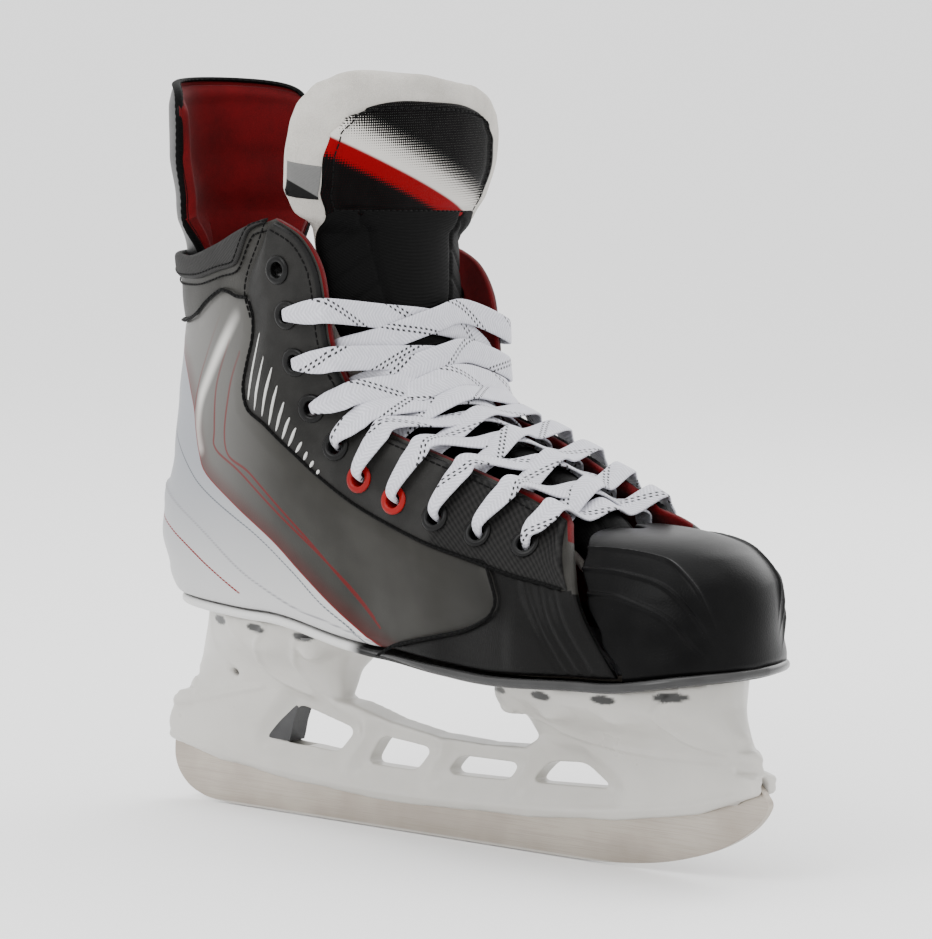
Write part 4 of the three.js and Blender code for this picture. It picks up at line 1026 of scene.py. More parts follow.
thread = lay("tendon_guard_stitches", carrier_of("rows", [path + out * 1.45, path - out * 1.5]), row_tool,
             row_ids, small_stitch, thread_black, 0.0026)
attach(thread, "tendon_guard")

# %% Guard pad
u, v = np.meshgrid(np.linspace(0.012, 0.988, 57), np.linspace(0.01, 0.99, 44), indexing="ij")
p = guard_point(u, v)
n = facing_out(p, (-90, 0, 230))
pad_edge = rim((u - 0.012) / 0.976, 0.06) * rim((v - 0.01) / 0.98, 0.05)
pad = slab("tendon_guard_foam", p - n * 5.4, p - n * (6.0 + 2.6 * pad_edge)[..., None], lining_red)
puff(pad, 1.2, 3.0)
refine(pad)
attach(pad, "tendon_guard")
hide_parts("tendon_guard_pad")

# %% [markdown]
# ## Tongue
# Thick white felt runs from under the toe cap to a wide flared top. A black quilted
# face covers the lower part and a printed badge the top. The top flexes forward about
# a seam above the collar; the felt is one piece and is not attached to either body.

# %% Tongue form
tongue_line = Line([(84, 110), (68, 124), (40, 138.5), (8, 151), (-9, 164), (-17, 182), (-21, 200),
                    (-25, 225), (-21, 250), (-15, 275)])
tongue_half = through([(0, 17), (0.2, 20), (0.5, 29), (0.66, 37), (0.742, 39), (0.765, 49), (0.80, 55),
                       (0.86, 57), (0.90, 56.6), (0.93, 54.5), (0.95, 51.5), (0.97, 46.5), (0.985, 40),
                       (0.995, 33), (1, 27)])

def tongue_point(u, across):
    q, t = tongue_line.at(u), tongue_line.tangent(u)
    bow = 12 * across ** 2
    lean = smooth((u - 0.55) / 0.35)
    return np.stack([q[..., 0] - t[..., 1] * bow, across * tongue_half(u) + 4 * lean,
                     q[..., 1] + t[..., 0] * bow - 3.5 * lean * across], -1)

def tongue_out(u, across):
    a = tongue_point(np.minimum(u + 2e-3, 1), across) - tongue_point(np.maximum(u - 2e-3, 0), across)
    b = tongue_point(u, across + 2e-3) - tongue_point(u, across - 2e-3)
    n = -np.cross(a, b)
    return n / np.linalg.norm(n, axis=-1, keepdims=True)

# %% Felt
rows = np.r_[0, 0.004, 0.01, np.linspace(0.02, 0.98, 84), 0.987, 0.993, 0.997, 1]
angle = np.linspace(0, 2 * np.pi, 56, endpoint=False)
across = np.sign(np.cos(angle)) * np.abs(np.cos(angle)) ** 0.62
depth = np.sign(np.sin(angle)) * np.abs(np.sin(angle)) ** 0.7
u = np.repeat(rows[:, None], len(angle), 1)
c = np.repeat(across[None], len(rows), 0)
thick = rim(u, 0.022) * mix(4.3, 6.2, smooth((u - 0.78) / 0.06))
points = tongue_point(u, c) + tongue_out(u, c) * (thick * depth[None] - 4.6)[..., None]
faces = grid_faces(len(rows), len(angle), wrap=True).tolist()
faces += [list(range(len(angle))), list(range((len(rows) - 1) * len(angle), len(rows) * len(angle)))]
felt = make_object("tongue_felt", points.reshape(-1, 3), faces, felt_white)
puff(felt, 1.6, 3.5)
refine(felt)
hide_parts("tongue_lower", "tongue_upper")
bend = [tongue_point(np.array(w), np.array(0.0)) * MM for w in (0.74, 0.785)]
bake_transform(felt)

# %% Laying a face on the felt
from mathutils.bvhtree import BVHTree
def lay_on(made, u, across, blur=2):
    """Where lines from in front of the tongue meet the felt, evened out."""
    tree = BVHTree.FromObject(made, bpy.context.evaluated_depsgraph_get())
    p, n = tongue_point(u, across), tongue_out(u, across)
    depth = np.zeros(u.shape)
    for i in np.ndindex(u.shape):
        hit = tree.ray_cast(Vector((p[i] + n[i] * 25) * MM), Vector(-n[i]))
        depth[i] = 25 - hit[3] / MM if hit[3] is not None else 0
    for _ in range(blur):
        padded = np.pad(depth, 1, mode="edge")
        depth = (padded[:-2, 1:-1] + padded[2:, 1:-1] + padded[1:-1, :-2] + padded[1:-1, 2:] + 2
                 * depth) / 6
    return p, n, depth

# %% Cloth tag
u, v = np.meshgrid(0.79 + 0.05 * stations(20, 0.06), stations(20, 0.06), indexing="ij")
p, n, depth = lay_on(felt, u, -0.985 + 0.2 * v)
def tag_build(t, place):
    cloth = t.group("woven_rib", {"Vector": place, "Pitch": 0.4})
    pale = t.blend(cloth["Shade"], (0.1, 0.1, 0.1), (0.16, 0.16, 0.155))
    return t.blend(t.step(t.mark("dark_half"), -0.2, 0.2), pale, (0.006, 0.006,
            0.006)), cloth["Height"], None

tag_skin = finish("tag_skin", tag_build, 0.6, bump=0.08, shine=0.1)
edge = rim(v, 0.06) * rim((u - 0.79) / 0.05, 0.06)
tag = slab("tongue_tag", p + n * (depth + 0.1 + 0.5 * edge)[..., None], p + n * (depth - 0.8)[..., None],
           tag_skin, {"dark_half": (0.806 - u) * 250 - 5 * v + 2})
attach(tag, "tongue_top")

# %% Quilted lower face
u, v = np.meshgrid(0.03 + 0.75 * stations(150, 0.01), stations(70, 0.03), indexing="ij")
c = (2 * v - 1) * np.where(u > 0.742, 39 / tongue_half(u), 1) * mix(0.86, 0.98, smooth((u - 0.5) / 0.15))
p, n, depth = lay_on(felt, u, c)
height = p[..., 2]
groove = lambda d, w: np.exp(-(d / w) ** 2)
column = np.abs(np.abs(c) - mix(0.34, 0.52, smooth((u - 0.5) / 0.25))) * tongue_half(u)
ribs = np.abs(((height + np.abs(c) * 26) / 11) % 1 - 0.5) * 11
outer_part = smooth((np.abs(c) - mix(0.34, 0.52, smooth((u - 0.5) / 0.25))) * 30)
quilt = 1.5 - 1.2 * groove(column, 1.0) - 0.8 * groove(ribs, 0.9) * outer_part
edge = rim(v, 0.03) * rim((u - 0.03) / 0.75, 0.006)
cover = slab("tongue_cover_quilt", p + n * (depth + 0.2 + quilt * edge)[..., None],
             p + n * (depth - 1.2)[..., None], cloth_black)
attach(cover, "boot")
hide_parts("tongue_cover")

# %% Badge print
def badge_build(t, place):
    grain = t.group("leather_grain", {"Vector": place, "Scale": 1.2})
    x, y, z = t.parts(place)
    far = t.mark("stripe")
    fx = t.math("SINE", t.math("MULTIPLY", t.math("ADD", y, z), 3.4))
    fz = t.math("SINE", t.math("MULTIPLY", t.math("SUBTRACT", y, z), 3.4))
    dots = t.math("MULTIPLY_ADD", t.math("MULTIPLY", fx, fz), 0.5, 0.5)
    base = t.blend(grain["Shade"], (0.0012, 0.0012, 0.0012), (0.0025, 0.0025, 0.0025))
    up = t.step(t.math("SUBTRACT", dots, t.step(far, 1, 15)), -0.04, 0.04)
    colour = t.blend(t.math("MULTIPLY", up, t.step(far, -1.5, 0)), base, (0.5, 0.48, 0.45))
    red = t.step(t.math("SUBTRACT", dots, t.step(far, -4.5, -8.5)), -0.04, 0.04)
    colour = t.blend(t.math("MULTIPLY", red, t.step(far, 0.6, -0.6)), colour, (0.16, 0.001, 0.003))
    return colour, grain["Height"], None

badge_skin = finish("badge_skin", badge_build, 0.4, bump=0.04, shine=0.02)
u, v = np.meshgrid(stations(90, 0.04), stations(110, 0.03), indexing="ij")
badge_half = through([(0, 38.5), (0.2, 42.5), (0.5, 44.5), (0.72, 43), (0.88, 38), (1, 30)])
spot = 0.769 + 0.189 * u - 0.02 * u * np.abs(2 * v - 1) ** 3
c = (2 * v - 1) * badge_half(u) / tongue_half(spot)
p, n, depth = lay_on(felt, spot, c, 4)
edge = rim(v, 0.03) * rim(u, 0.04)
sunk = 0.5 * groove((1 - np.maximum(np.abs(2 * v - 1), np.abs(2 * u - 1))) * 22 - 3.0, 0.9)
stripe = (p[..., 2] - 238.5) + 0.42 * p[..., 1]
badge = slab("tongue_badge_print", p + n * (depth + 0.1 + (1.3 - sunk) * edge)[..., None],
             p + n * (depth - 1.5)[..., None], badge_skin, {"stripe": stripe})
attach(badge, "tongue_top")
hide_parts("tongue_badge")
ring = np.concatenate([[(i, 6) for i in range(6, 93)], [(93, j) for j in range(6, 113)],
                       [(i, 113) for i in range(93, 6, -1)], [(6, j) for j in range(113, 6, -1)]])
path = (p + n * (depth + 1.3)[..., None])[ring[:, 0], ring[:, 1]]
thread = lay("badge_stitches", carrier_of("rows", [path]), row_tool, row_ids, stitch_copy, thread_black,
             0.0027)
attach(thread, "tongue_top")

# %% [markdown]
# ## Toe cap
# One stiff moulded cap with three raised sweeping lines on each side that run down and
# forward from the boot to the toe.

# %% Toe cap
seam_x = through([(74, 110), (87, 100.5), (100, 93), (113, 86), (124, 73)])
def toe_point(u, v):
    around_toe = np.radians(mix(-90, 90, u))
    up = v * np.pi / 2 * 0.985
    rise, shrink = np.sin(up) ** 0.58, np.cos(up) ** 0.58
    height = lambda x: mix(sole_z(x) + 0.5, 120.5, rise)
    seam_at = seam_x(height(105.0)) + 1.9
    side_half = np.where(around_toe < 0, np.abs(boot_point(seam_at, height(105.0), INNER)[..., 1]),
                         np.abs(boot_point(seam_at, height(105.0), OUTER)[..., 1]))
    forward = np.cos(around_toe) * shrink
    x = seam_at + (TOE_X - seam_at) * forward
    return np.stack([x, np.sin(around_toe) * np.minimum(42 * shrink, side_half) - 9 * forward ** 2,
                     height(x)], -1)

sweeps = [[(0.0, 0.638), (0.077, 0.648), (0.146, 0.638), (0.211, 0.603), (0.262, 0.538), (0.299, 0.392),
           (0.328, 0.241), (0.347, 0.146), (0.361, 0.065)],
          [(0.0, 0.452), (0.074, 0.452), (0.124, 0.437), (0.201, 0.377), (0.256, 0.271), (0.306, 0.126),
           (0.333, 0.065), (0.359, 0.03)],
          [(0.0, 0.291), (0.055, 0.291), (0.101, 0.276), (0.189, 0.196), (0.242, 0.111), (0.287, 0.04),
           (0.338, 0.005)]]
u, v = np.meshgrid(np.linspace(0, 1, 361), np.r_[np.linspace(0, 0.08, 22)[:-1], np.linspace(0.08, 0.96,
        150)[:-1], 0.96 + 0.04 * np.linspace(0, 1, 12) ** 0.7], indexing="ij")
p = toe_point(u, v)
n = facing_out(p, (85, -2, 80))
lift = np.zeros(u.shape)
for sweep in sweeps:
    for mirrored in (False, True):
        flat = Line(sweep, 400).at(np.linspace(0, 1, 40))
        if mirrored:
            flat = flat * (-1, 1) + (1, 0)
        in_space = toe_point(flat[:, 0], flat[:, 1])
        far = np.full(u.shape, 1e9)
        share = np.zeros(u.shape)
        for i in range(len(in_space) - 1):
            a0, d0 = in_space[i], in_space[i + 1] - in_space[i]
            w = np.clip(((p - a0) @ d0) / (d0 @ d0), 0, 1)
            r = np.linalg.norm(p - a0 - w[..., None] * d0, axis=-1)
            share = np.where(r < far, (i + w) / (len(in_space) - 1), share)
            far = np.minimum(far, r)
        under = v < np.interp(u if not mirrored else 1 - u, *np.array(sweep).T)
        fade = 1 - smooth((share - 0.7) / 0.3)
        lift += fade * (0.75 * np.exp(-(far / 0.75) ** 2) + 0.55 * np.where(under, np.exp(-far / 3.5),
                np.exp(-far / 0.6)))
edge = rim(0.5 + v * 0.5, 0.006) * rim(u, 0.006)
toe = slab("toe_cap_shell", p + n * (lift * edge - 1.2 + 1.2 * edge)[..., None], p - n * 2.6, satin_black)
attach(toe, "boot")
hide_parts("toe_cap")

# %% [markdown]
# ## Outsole
# A thin stiff plate under the boot: white under the heel, grey under the forefoot, with
# a glossy rolled lip round the front that shows as a line between boot and holder.

# %% Outsole plate
sole_low, sole_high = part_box("outsole")
sole_back, sole_front = sole_low.x / MM, sole_high.x / MM
def sole_edge(x, side, margin):
    heel = np.clip((x - sole_back) / 34, 0, 1)
    toe_share = np.clip((x - 108) / (sole_front - 108), 0, 1)
    half = sole_half[side](x) * np.sqrt(1 - (1 - heel) ** 2) * np.sqrt(1 - toe_share ** 2.2)
    return -9 * toe_share ** 2 + side * np.maximum(0.6, half - margin)

def sole_build(t, place):
    x, y, z = t.parts(place)
    grain = t.noise(place, 1.5, 3)
    return t.blend(t.step(x, -22, -14), (0.55, 0.55, 0.54), (0.004, 0.004, 0.004)), grain, None

sole_skin = finish("sole_skin", sole_build, 0.35, bump=0.04, shine=0.15)
x = mix(sole_back, sole_front, (1 - np.cos(np.pi * np.linspace(0, 1, 260))) / 2)
left, right = sole_edge(x, INNER, -0.9), sole_edge(x, OUTER, -0.9)
turn = np.linspace(-np.pi / 2, np.pi / 2, 9)
ring_y = [mix(left + 1.6, right - 1.6, w) for w in np.linspace(0, 1, 10)] + [right - 1.6 + 1.6
        * math.cos(w) for w in turn[1:-1]]
ring_z = [-3.2] * 10 + [-1.6 + 1.6 * math.sin(w) for w in turn[1:-1]]
ring_y += [mix(right - 1.6, left + 1.6, w) for w in np.linspace(0, 1, 10)] + [left + 1.6 - 1.6
        * math.cos(w) for w in turn[1:-1]]
ring_z += [0] * 10 + [-1.6 - 1.6 * math.sin(w) for w in turn[1:-1]]
points = np.stack([np.repeat(x[:, None], len(ring_y), 1), np.array(ring_y).T,
                   sole_z(x)[:, None] + np.array(ring_z)[None]], -1)
faces = grid_faces(len(x), len(ring_y), wrap=True).tolist() + [list(range(len(ring_y))),
                                                               list(range((len(x) - 1) * len(ring_y),
                                                                       len(x) * len(ring_y)))]
sole = make_object("outsole_plate", points.reshape(-1, 3), faces, sole_skin)
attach(sole, "boot")
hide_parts("outsole")

# %% Rolled lip
lip_grey = finish("lip_grey", plain((0.016, 0.016, 0.016), (0.026, 0.026, 0.026)), 0.25, bump=0.02,
                  shine=0.35)
w = np.linspace(0, 1, 260)
half_x = mix(-18, sole_front - 0.4, np.sin(w * np.pi / 2))
inner_lip = np.stack([half_x, sole_edge(half_x, INNER, -0.5), sole_z(half_x) - 1.2], 1)
outer_lip = np.stack([half_x, sole_edge(half_x, OUTER, -0.5), sole_z(half_x) - 1.2], 1)
path = np.vstack([inner_lip, outer_lip[::-1][1:]])
path = np.array([np.convolve(np.pad(c, 4, mode="edge"), np.ones(9) / 9, "valid") for c in path.T]).T
share = np.r_[w, w[::-1][1:]]
lip = tubes("outsole_lip", [(path, 0.3 + 1.35 * smooth(share / 0.25), np.tile([0, 0, 1.0],
        (len(path), 1)))], lip_grey, sides=12, flat=1.1)
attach(lip, "boot")

# %% [markdown]
# ## Lace
# A flat waxed lace, nine millimetres wide. It starts at the toe with one straight bar
# and crosses the tongue up to the ninth eyelets. A pair of black tracer threads runs
# across it on the slant.

# %% Lace path
def row_along(row):
    return np.interp(row, np.arange(10), eyelet_along)

def edge_into(along):
    q, t = gap_edge.at(along), gap_edge.tangent(along)
    return q, np.array([-t[1], t[0]]), t

def over_facing(row, side, distance, height, width=9.0):
    q, into, t = edge_into(row_along(row))
    spot = q + into * distance
    p, n = on_boot([spot], side, height)
    return p[0], np.array([t[0], 0, t[1]]), width

def over_tongue(row, side, share, height):
    q, into, t = edge_into(row_along(row))
    tries = np.linspace(0, 0.775, 400)
    u = tries[np.argmin(np.linalg.norm(tongue_line.at(tries) - q, axis=1))]
    c = np.array(side * share)
    return tongue_point(np.array(u), c) + tongue_out(np.array(u), c) * height, np.array([t[0], 0,
            t[1]]), 9.0

def beside_edge(row, side, height, gap):
    p, across, width = over_facing(row, side, 0.3, height)
    _, into, _ = edge_into(row_along(row))
    return p - np.array([into[0], 0, into[1]]) * gap, across, width

def inside(row, side):
    hole = eyelet_gap[row]
    return [over_facing(row, side, hole, -3.8, 2.6), over_facing(row, side, hole - 3.5, -5.8, 5),
            over_facing(row, side, 5, -6.0, 7.5), beside_edge(row + 0.03, side, -5.0, 1.5)]

def outside(row, side):
    hole = eyelet_gap[row]
    return [beside_edge(row, side, 3.9, 1.8), over_facing(row, side, 2.5, 5.0), over_facing(row, side, 7,
            5.7, 8),
            over_facing(row, side, hole - 2.2, 6.1, 4.4), over_facing(row, side, hole + 0.1, 1.4, 3.2)]

def crossing(row, side):
    top = side == INNER
    return [over_tongue(row + 0.25, side, 0.6, 5.2 if top else 4.4), over_tongue(row + 0.5, side, 0,
            6.1 if top else 4.1),
            over_tongue(row + 0.72, -side, 0.5, 6.0 if top else 4.6)]

def lace_half(first):
    run = []
    for row in range(8):
        side = -first if row % 2 else first
        run += inside(row, side) + crossing(row, side) + outside(row + 1, -side)
    return run

first_bar = outside(0, OUTER)[::-1] + [over_tongue(0, OUTER, 0.5, 4), over_tongue(0, OUTER, 0, 4),
                                       over_tongue(0, INNER, 0.5, 4)] + outside(0, INNER)
run = lace_half(OUTER)[::-1] + first_bar + lace_half(INNER)

# %% Lace strip
def eased_curve(p, each):
    """A centripetal curve through points, with `each` steps between them."""
    p = np.vstack([2 * p[0] - p[1], p, 2 * p[-1] - p[-2]])
    out = []
    for i in range(1, len(p) - 2):
        a, b, c, d = p[i - 1:i + 3]
        r0, r1, r2 = (max(np.linalg.norm(w) ** 0.5, 1e-4) for w in (b - a, c - b, d - c))
        m1 = ((b - a) / r0 - (c - a) / (r0 + r1) + (c - b) / r1) * r1
        m2 = ((c - b) / r1 - (d - b) / (r1 + r2) + (d - c) / r2) * r1
        t = np.linspace(0, 1, each, endpoint=False)[:, None]
        out.append(b + m1 * t + (-3 * b + 3 * c - 2 * m1 - m2) * t**2 + (2 * b - 2 * c + m1 + m2) * t**3)
    return np.vstack(out + [p[-2:-1]])

each = 9
path = eased_curve(np.array([s[0] for s in run]), each)
place = np.linspace(0, len(run) - 1, len(path))
wish = np.stack([np.interp(place, np.arange(len(run)), c) for c in np.array([s[1] for s in run]).T], 1)
width = np.interp(place, np.arange(len(run)), [s[2] for s in run])
for _ in range(4):
    width[1:-1] = (width[:-2] + 2 * width[1:-1] + width[2:]) / 4
tangent = np.gradient(path, axis=0)
tangent /= np.linalg.norm(tangent, axis=1, keepdims=True)
across = wish - tangent * (wish * tangent).sum(1, keepdims=True)
across /= np.linalg.norm(across, axis=1, keepdims=True)
for _ in range(6):
    across[1:-1] = (across[:-2] + 2 * across[1:-1] + across[2:]) / 4
    across -= tangent * (across * tangent).sum(1, keepdims=True)
    across /= np.linalg.norm(across, axis=1, keepdims=True)
face = np.cross(tangent, across)
angle = np.linspace(0, 2 * np.pi, 20, endpoint=False)
wide = np.sign(np.cos(angle)) * np.abs(np.cos(angle)) ** 0.55
thick = np.sign(np.sin(angle)) * np.abs(np.sin(angle)) ** 0.6
gathered = 0.62 + 0.5 * (1 - width / 9)
points = path[:, None] + across[:, None] * (wide * width[:, None] / 2)[..., None] + face[:,
        None] * (thick * gathered[:, None])[..., None]
walked = np.r_[0, np.cumsum(np.linalg.norm(np.diff(path, axis=0), axis=1))]
faces = grid_faces(len(path), 20, wrap=True).tolist() + [list(range(20)), list(range((len(path) - 1) * 20,
        len(path) * 20))]

def lace_build(t, place):
    along, side = t.mark("along"), t.mark("across")
    cross = t.math("SINE", t.math("MULTIPLY", along, 7.0))
    chevron = t.math("SINE", t.math("MULTIPLY_ADD", t.math("ABSOLUTE", side), 3.0, t.math("MULTIPLY", along,
            4.0)))
    height = t.math("MULTIPLY_ADD", chevron, 0.35, t.math("MULTIPLY", cross, 0.15))
    middle = t.math("MULTIPLY_ADD", t.math("FRACT", t.math("DIVIDE", along, 34.0)), 15.0, -7.5)
    beat = t.math("FRACT", t.math("DIVIDE", along, 2.1))
    ink = None
    for shift, late in ((0.85, 0.0), (-0.85, 0.5)):
        off = t.math("ABSOLUTE", t.math("SUBTRACT", t.math("SUBTRACT", side, middle), shift))
        dash = t.step(t.math("PINGPONG", t.math("ADD", beat, late), 0.5), 0.22, 0.27)
        line = t.math("MULTIPLY", t.step(off, 0.5, 0.38), dash)
        ink = line if ink is None else t.math("MAXIMUM", ink, line)
    shade = t.step(t.math("MULTIPLY_ADD", t.noise(place, 0.4, 3), 0.5, t.math("MULTIPLY", height, 0.5)),
                   0.1, 0.5)
    white = t.blend(shade, (0.42, 0.42, 0.465), (0.55, 0.55, 0.60))
    return t.blend(ink, white, (0.002, 0.002, 0.003)), height, None

lace_skin = finish("lace_skin", lace_build, 0.6, bump=0.12, sheen=0.1)
count = len(angle)
lace = make_object("lace_strip", points.reshape(-1, 3), faces, lace_skin,
                   {"along": np.repeat(walked, count), "across": (wide[None] * width[:, None] / 2)})
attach(lace, "boot")
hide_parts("lace")
print("lace length between its ends", round(walked[-1]), "mm")

# %% [markdown]
# ## Blade holder
# A white nylon moulding. The CAD solid is covered with a fine even skin, its hard
# corners are eased, and ridges and small steps on the pylons are pressed into it.
# Plugs fill the open seats under the rivet heads so that the flanks run smooth, painted
# shade in the colour stands for the shadow inside each slot, and the wall is thinner round the windows.

# %% Holder
holder = bpy.data.objects.new("blade_holder_moulding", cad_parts["blade_holder"].data.copy())
bpy.context.scene.collection.objects.link(holder)
holder.data.materials.clear()
SEAT_TOP, SEAT_INWARD = 7.0, 1.4
SKIN_GRAIN, SKIN_ROUNDS = 0.00095, 9
plug = lathe("plug", [(0.05, 0), (5.4, 0), (5.2, -6), (4.9, -10.6), (0.05, -10.9)], 20)
rivet_rows = [(-99, 17, 17), (-77, 21, 21), (-54, 22, 22), (45, 25, 18), (69, 30, 23), (97, 28, 22),
              (119, 18, 11)]
rivet_spots = [(x, y) for x, inner, outer in rivet_rows for y in (-inner, outer)]
whole = bmesh.new()
whole.from_mesh(holder.data)
for x, y in rivet_spots:
    before = len(whole.verts)
    whole.from_mesh(plug.data)
    whole.verts.ensure_lookup_table()
    place = np.array([x, y - SEAT_INWARD * np.sign(y), sole_z(x) - SEAT_TOP]) * MM
    bmesh.ops.translate(whole, verts=whole.verts[before:], vec=place)
whole.to_mesh(holder.data)
whole.free()
bpy.data.objects.remove(plug)
skin = holder.modifiers.new("skin", "REMESH")
skin.mode, skin.voxel_size = "VOXEL", SKIN_GRAIN
ease = holder.modifiers.new("ease", "SMOOTH")
ease.factor, ease.iterations = 0.5, SKIN_ROUNDS
graph = bpy.context.evaluated_depsgraph_get()
mesh = bpy.data.meshes.new_from_object(holder.evaluated_get(graph), depsgraph=graph)
holder.modifiers.clear()
holder.data = mesh
co = np.zeros(len(mesh.vertices) * 3)
mesh.vertices.foreach_get("co", co)
co = co.reshape(-1, 3) / MM
no = np.zeros(len(mesh.vertices) * 3)
mesh.vertices.foreach_get("normal", no)
no = no.reshape(-1, 3)
hx, hy, hz = co.T

# %% Flanks under the rivets
FLANK_ROUNDS, FLANK_PULL = 90, 0.6
seat = np.zeros(len(co))
for x, y in rivet_spots:
    near = np.hypot(hx - x, hy - y)
    seat = np.maximum(seat, smooth((10 - near) / 3) * smooth((sole_z(x) - 4.5 - hz) / 1.5)
                      * smooth((hz - sole_z(x) + 30) / 6))
links = np.zeros(len(mesh.edges) * 2, dtype=np.int32)
mesh.edges.foreach_get("vertices", links)
links = links.reshape(-1, 2)
links = links[(seat[links] > 0).any(axis=1)]
ends, others = np.r_[links[:, 0], links[:, 1]], np.r_[links[:, 1], links[:, 0]]
count = np.maximum(np.bincount(ends, minlength=len(co)), 1)
for _ in range(FLANK_ROUNDS):
    even = np.stack([np.bincount(ends, co[others, k], len(co)) for k in range(3)], 1) / count[:, None]
    co = np.where(seat[:, None] > 0, co + (even - co) * FLANK_PULL * seat[:, None], co)
hx, hy, hz = co.T

# %% Windows
windows = [[(-90, 28), (-57, 26), (-48, 35.4), (-76, 42)],
           [(-43, 23.5), (-18, 23.5), (-10, 32.6), (-35, 34.6)],
           [(-4, 24), (27, 25), (32, 31.8), (3, 31.4)],
           [(37, 25.5), (76, 27.5), (63, 35.4), (46, 34)]]
CORE, THINNEST = 2.2, 0.35  # the half width that stays, and the share of the rest kept
frame_gap = np.min([distance_to(Line(w + w[:1], 5, True).points, hx, hz) for w in windows], axis=0)
thin = mix(THINNEST, 1, smooth((frame_gap - 0.5) / 8))
co[:, 1] = np.where(np.abs(hy) > CORE, np.sign(hy) * (CORE + (np.abs(hy) - CORE) * thin), hy)

# %% Holder relief
side_face = smooth((np.abs(no[:, 1]) - 0.25) / 0.3)
outward = smooth((no[:, 1] * np.sign(hy) + 0.35) / 0.3)
contour = [Line([(-72, 74), (-80, 66), (-86, 58), (-80, 52), (-66, 47)]),
           Line([(-52, 74), (-62, 66), (-68, 58), (-64, 50), (-56, 44)]),
           Line([(-138, 37), (-120, 41), (-104, 45), (-90, 48)]),
           Line([(40, 62), (52, 52), (66, 46), (92, 43), (130, 43)]),
           Line([(118, 66), (112, 58), (116, 50), (130, 46)]),
           Line([(-143, 24.5), (-110, 19.5), (-75, 16.5), (-30, 14.5), (34, 16.5), (71, 19.5),
                 (108, 25), (134, 32)])]
RIDGE_HEIGHT, STEP_HEIGHT, STEP_PITCH = 0.8, 0.55, 7.2
ridge = sum(np.exp(-(around(c, hx, hz) / 1.1) ** 2) for c in contour)
tier = np.sin(hz * 2 * np.pi / STEP_PITCH)
rear = smooth((-128 - hx) / 3) * smooth((hz - 33) / 5) * smooth((68 - hz) / 5)
nose = smooth((hx - 132) / 3) * smooth((hz - 34) / 4) * smooth((64 - hz) / 5)
steps = STEP_HEIGHT * np.sign(tier) * np.abs(tier) ** 0.5 * (rear + nose)
move = RIDGE_HEIGHT * ridge * side_face * (hz > 13) + steps
co = co + no * move[:, None]
mesh.vertices.foreach_set("co", (co * MM).ravel())

# Painted shade: a dark patch on each plugged rivet seat, where the open slot's shadow would fall.
deep = np.zeros(len(co))
for x, y in rivet_spots:
    near = np.hypot((hx - x) / 3.9, (hz - sole_z(x) + 6.9) / 1.4)
    deep = np.maximum(deep, smooth((1.35 - near) / 0.3) * (hy * y > 0) * (np.abs(hy) > abs(y) - 7)
                      * outward)
mesh.attributes.new("deep", "FLOAT", "POINT").data.foreach_set("value", deep.astype(np.float32))
mesh.polygons.foreach_set("use_smooth", [True] * len(mesh.polygons))

def holder_build(t, place):
    grain = t.noise(place, 1.2, 3)
    cloud = t.noise(place, 0.02, 4)
    white = t.blend(t.step(cloud, 0.3, 0.7), (0.41, 0.397, 0.368), (0.47, 0.457, 0.427))
    # The painted slot shade turns the white nearly black over each plugged seat.
    return t.blend(t.mark("deep"), white, (0.008, 0.008, 0.007)), grain, None

holder_skin = finish("holder_skin", holder_build, 0.3, bump=0.02, shine=0.5)
mesh.materials.append(holder_skin)
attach(holder, "boot")
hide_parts("blade_holder")
print("holder faces", len(mesh.polygons))

# %% [markdown]
# ## Runner, trigger and rivets
# The runner is cut from stainless plate. Its flanks are ground along their length and
# its lower edge has a shallow hollow between two sharp corners.

# %% Runner
foot = through([(-145, 22.5), (-111, 16.5), (-75, 13), (-30, 11), (34, 13), (71, 16), (108, 21), (130, 28),
                (150, 35)])
under = Line([(-143.4, 26.5), (-144, 15), (-140, 7.5), (-132, 2.6), (-118, 0.3), (-80, 0.15), (-50, 0),
              (-20, 0), (20, 0), (50, 0), (75, 0.8), (100, 4.2), (122, 11), (137, 19.5), (144, 28),
              (142, 32.5)])
low_edge = under.at(np.linspace(0, 1, 420))
low_edge[:, 1] = np.maximum(low_edge[:, 1], 0)
xs = np.linspace(138, -139, 80)
keep = (xs > 109) | ((xs < 96) & (xs > -96.5)) | (xs < -109)
high_edge = np.stack([xs, foot(xs) + 6.6], 1)
front_tab = [(108, 37), (106, 39), (99, 39), (97, 37)]
rear_tab = [(-97.5, 43), (-99.5, 45), (-106.7, 45), (-108.2, 43.5), (-108.2, 38.6), (-106, 38.6),
            (-106, 28.5), (-108.2, 26.5)]
top = [tuple(q) for q in high_edge[xs > 109]] + [(108, foot(108) + 6.6)] + front_tab + [(97,
        foot(97) + 6.6)]
top += [tuple(q) for q in high_edge[(xs < 96) & (xs > -96.5)]] + [(-97.5,
        foot(-97.5) + 6.6)] + rear_tab + [(-108.2, foot(-108.2) + 6.6)]
top += [tuple(q) for q in high_edge[xs < -109]]
outline = [tuple(q) for q in low_edge] + top
size = len(outline)
points = [(x, y, z) for y in (-1.5, 1.5) for x, z in outline]
faces = [list(range(size)), list(range(2 * size - 1, size - 1, -1))] + [[i, (i + 1) % size,
        (i + 1) % size + size, i + size] for i in range(size)]
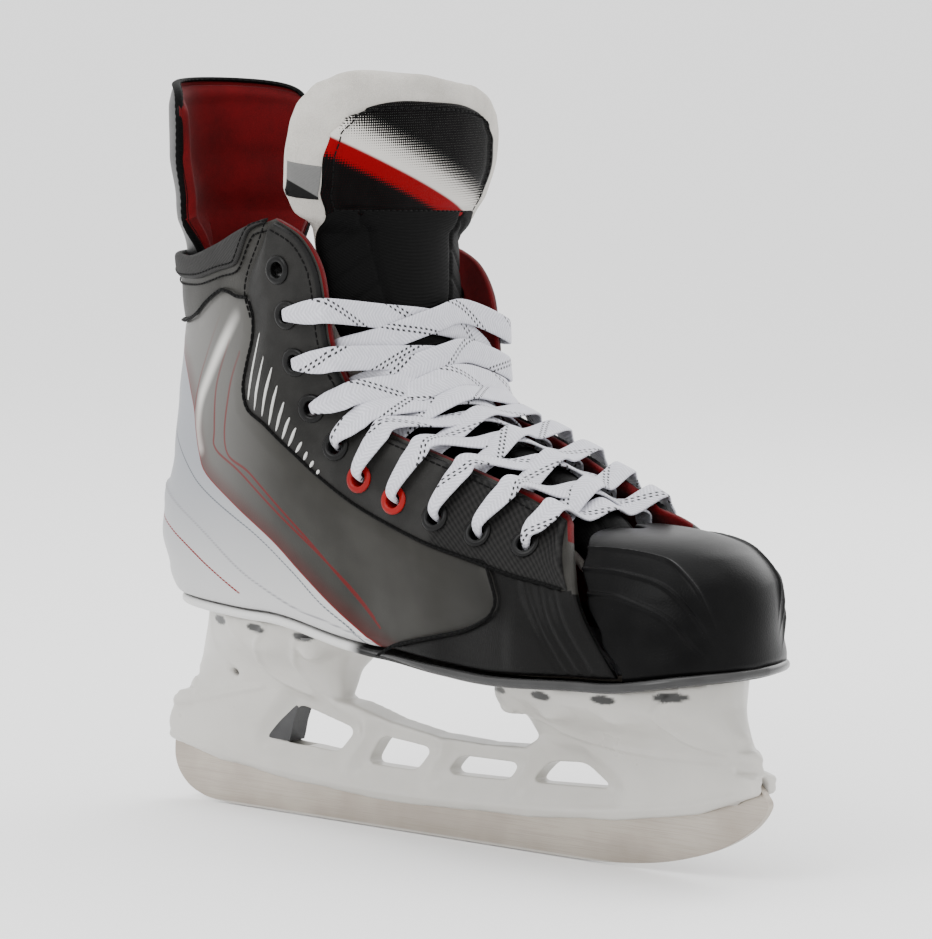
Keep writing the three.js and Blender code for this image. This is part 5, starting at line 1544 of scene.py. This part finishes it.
def steel_build(t, place):
    long = t.node("ShaderNodeVectorMath", {0: place, 1: (0.03, 1, 2.6)}, operation="MULTIPLY").outputs[0]
    lines = t.noise(long, 1.6, 4, 0.7)
    cloud = t.noise(place, 0.03, 3)
    x, y, z = t.parts(place)
    edge = t.step(z, 1.2, 0.6)
    colour = t.blend(t.step(cloud, 0.3, 0.7), (0.33, 0.29, 0.25), (0.42, 0.38, 0.33))
    colour = t.blend(t.math("MULTIPLY", t.step(lines, 0.45, 0.7), 0.5), colour, (0.25, 0.22, 0.19))
    return t.blend(edge, colour, (0.5, 0.48, 0.45)), lines, t.math("MULTIPLY", lines, 0.12)

steel_skin = finish("steel_skin", steel_build, 0.26, 1.0, bump=0.02)
mesh = bpy.data.meshes.new("runner_blade")
mesh.from_pydata((np.array(points) * MM).tolist(), [], faces)
runner = bpy.data.objects.new("runner_blade", mesh)
bpy.context.scene.collection.objects.link(runner)
tidy(runner, False)
mesh.materials.append(steel_skin)
ground = runner.modifiers.new("ground edge", "BEVEL")
ground.width, ground.segments, ground.limit_method, ground.angle_limit = 0.0003, 2, "ANGLE", math.radians(50)
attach(runner, "runner")
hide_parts("runner")

# %% Rivets
rivet_copy = lathe("rivet_copy", [(0.05, 2.2), (1.2, 2.15), (2.4, 1.8), (3.3, 1.1), (3.9, 0.3), (3.9, 0),
                                  (1.9, -0.05), (1.9, -8.6), (3.2, -8.7), (3.2, -9.4), (2.2, -9.7),
                                  (0.05, -9.75)], 28)
spots = [(x, y, sole_z(x) - 6.95 - 0.3) for x, y in rivet_spots]
steel_dark = finish("steel_dark", plain((0.1, 0.1, 0.1), (0.16, 0.16, 0.16)), 0.35, 0.85, bump=0.03)
rivets = lay("rivets", spots_of("spots", spots, [(0, 0, -1)] * len(spots)), spot_tool, spot_ids, rivet_copy,
             steel_dark, wobble=0.0)
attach(rivets, "boot")
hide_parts(*[f"rivet_{label}_{i}" for label in ("inner", "outer") for i in range(1, 8)])

# %% CAD pieces kept as they are
trigger_skin = finish("trigger_skin", plain((0.02, 0.02, 0.021), (0.035, 0.035, 0.036)), 0.4, bump=0.06)
board_skin = finish("board_skin", fuzzy((0.022, 0.018, 0.014), (0.04, 0.033, 0.025)), 0.8, bump=0.1)
foam_skin = finish("foam_skin", woven((0.02, 0.021, 0.022), (0.05, 0.052, 0.055), 1.4), 0.85, bump=0.2)
kept = (("trigger", trigger_skin, "trigger_plastic", 0.5), ("trigger_pin", steel_dark, "pin_steel", 0.2),
        ("trigger_spring", steel_dark, "spring_steel", 0.0),
        ("insole_board", board_skin, "insole_board", 0.3), ("footbed", foam_skin, "footbed_foam", 0.8))
for node, paint, slot, width in kept:
    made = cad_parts[node]
    made.data.materials.clear()
    made.data.materials.append(paint)
    if width:
        soft = made.modifiers.new("eased edge", "BEVEL")
        soft.width, soft.segments = width * MM, 3
        soft.limit_method, soft.angle_limit = "ANGLE", math.radians(35)

# %% Finish
for made in (stitch_copy, small_stitch, eyelet_copy, rivet_copy):
    bpy.data.objects.remove(made)
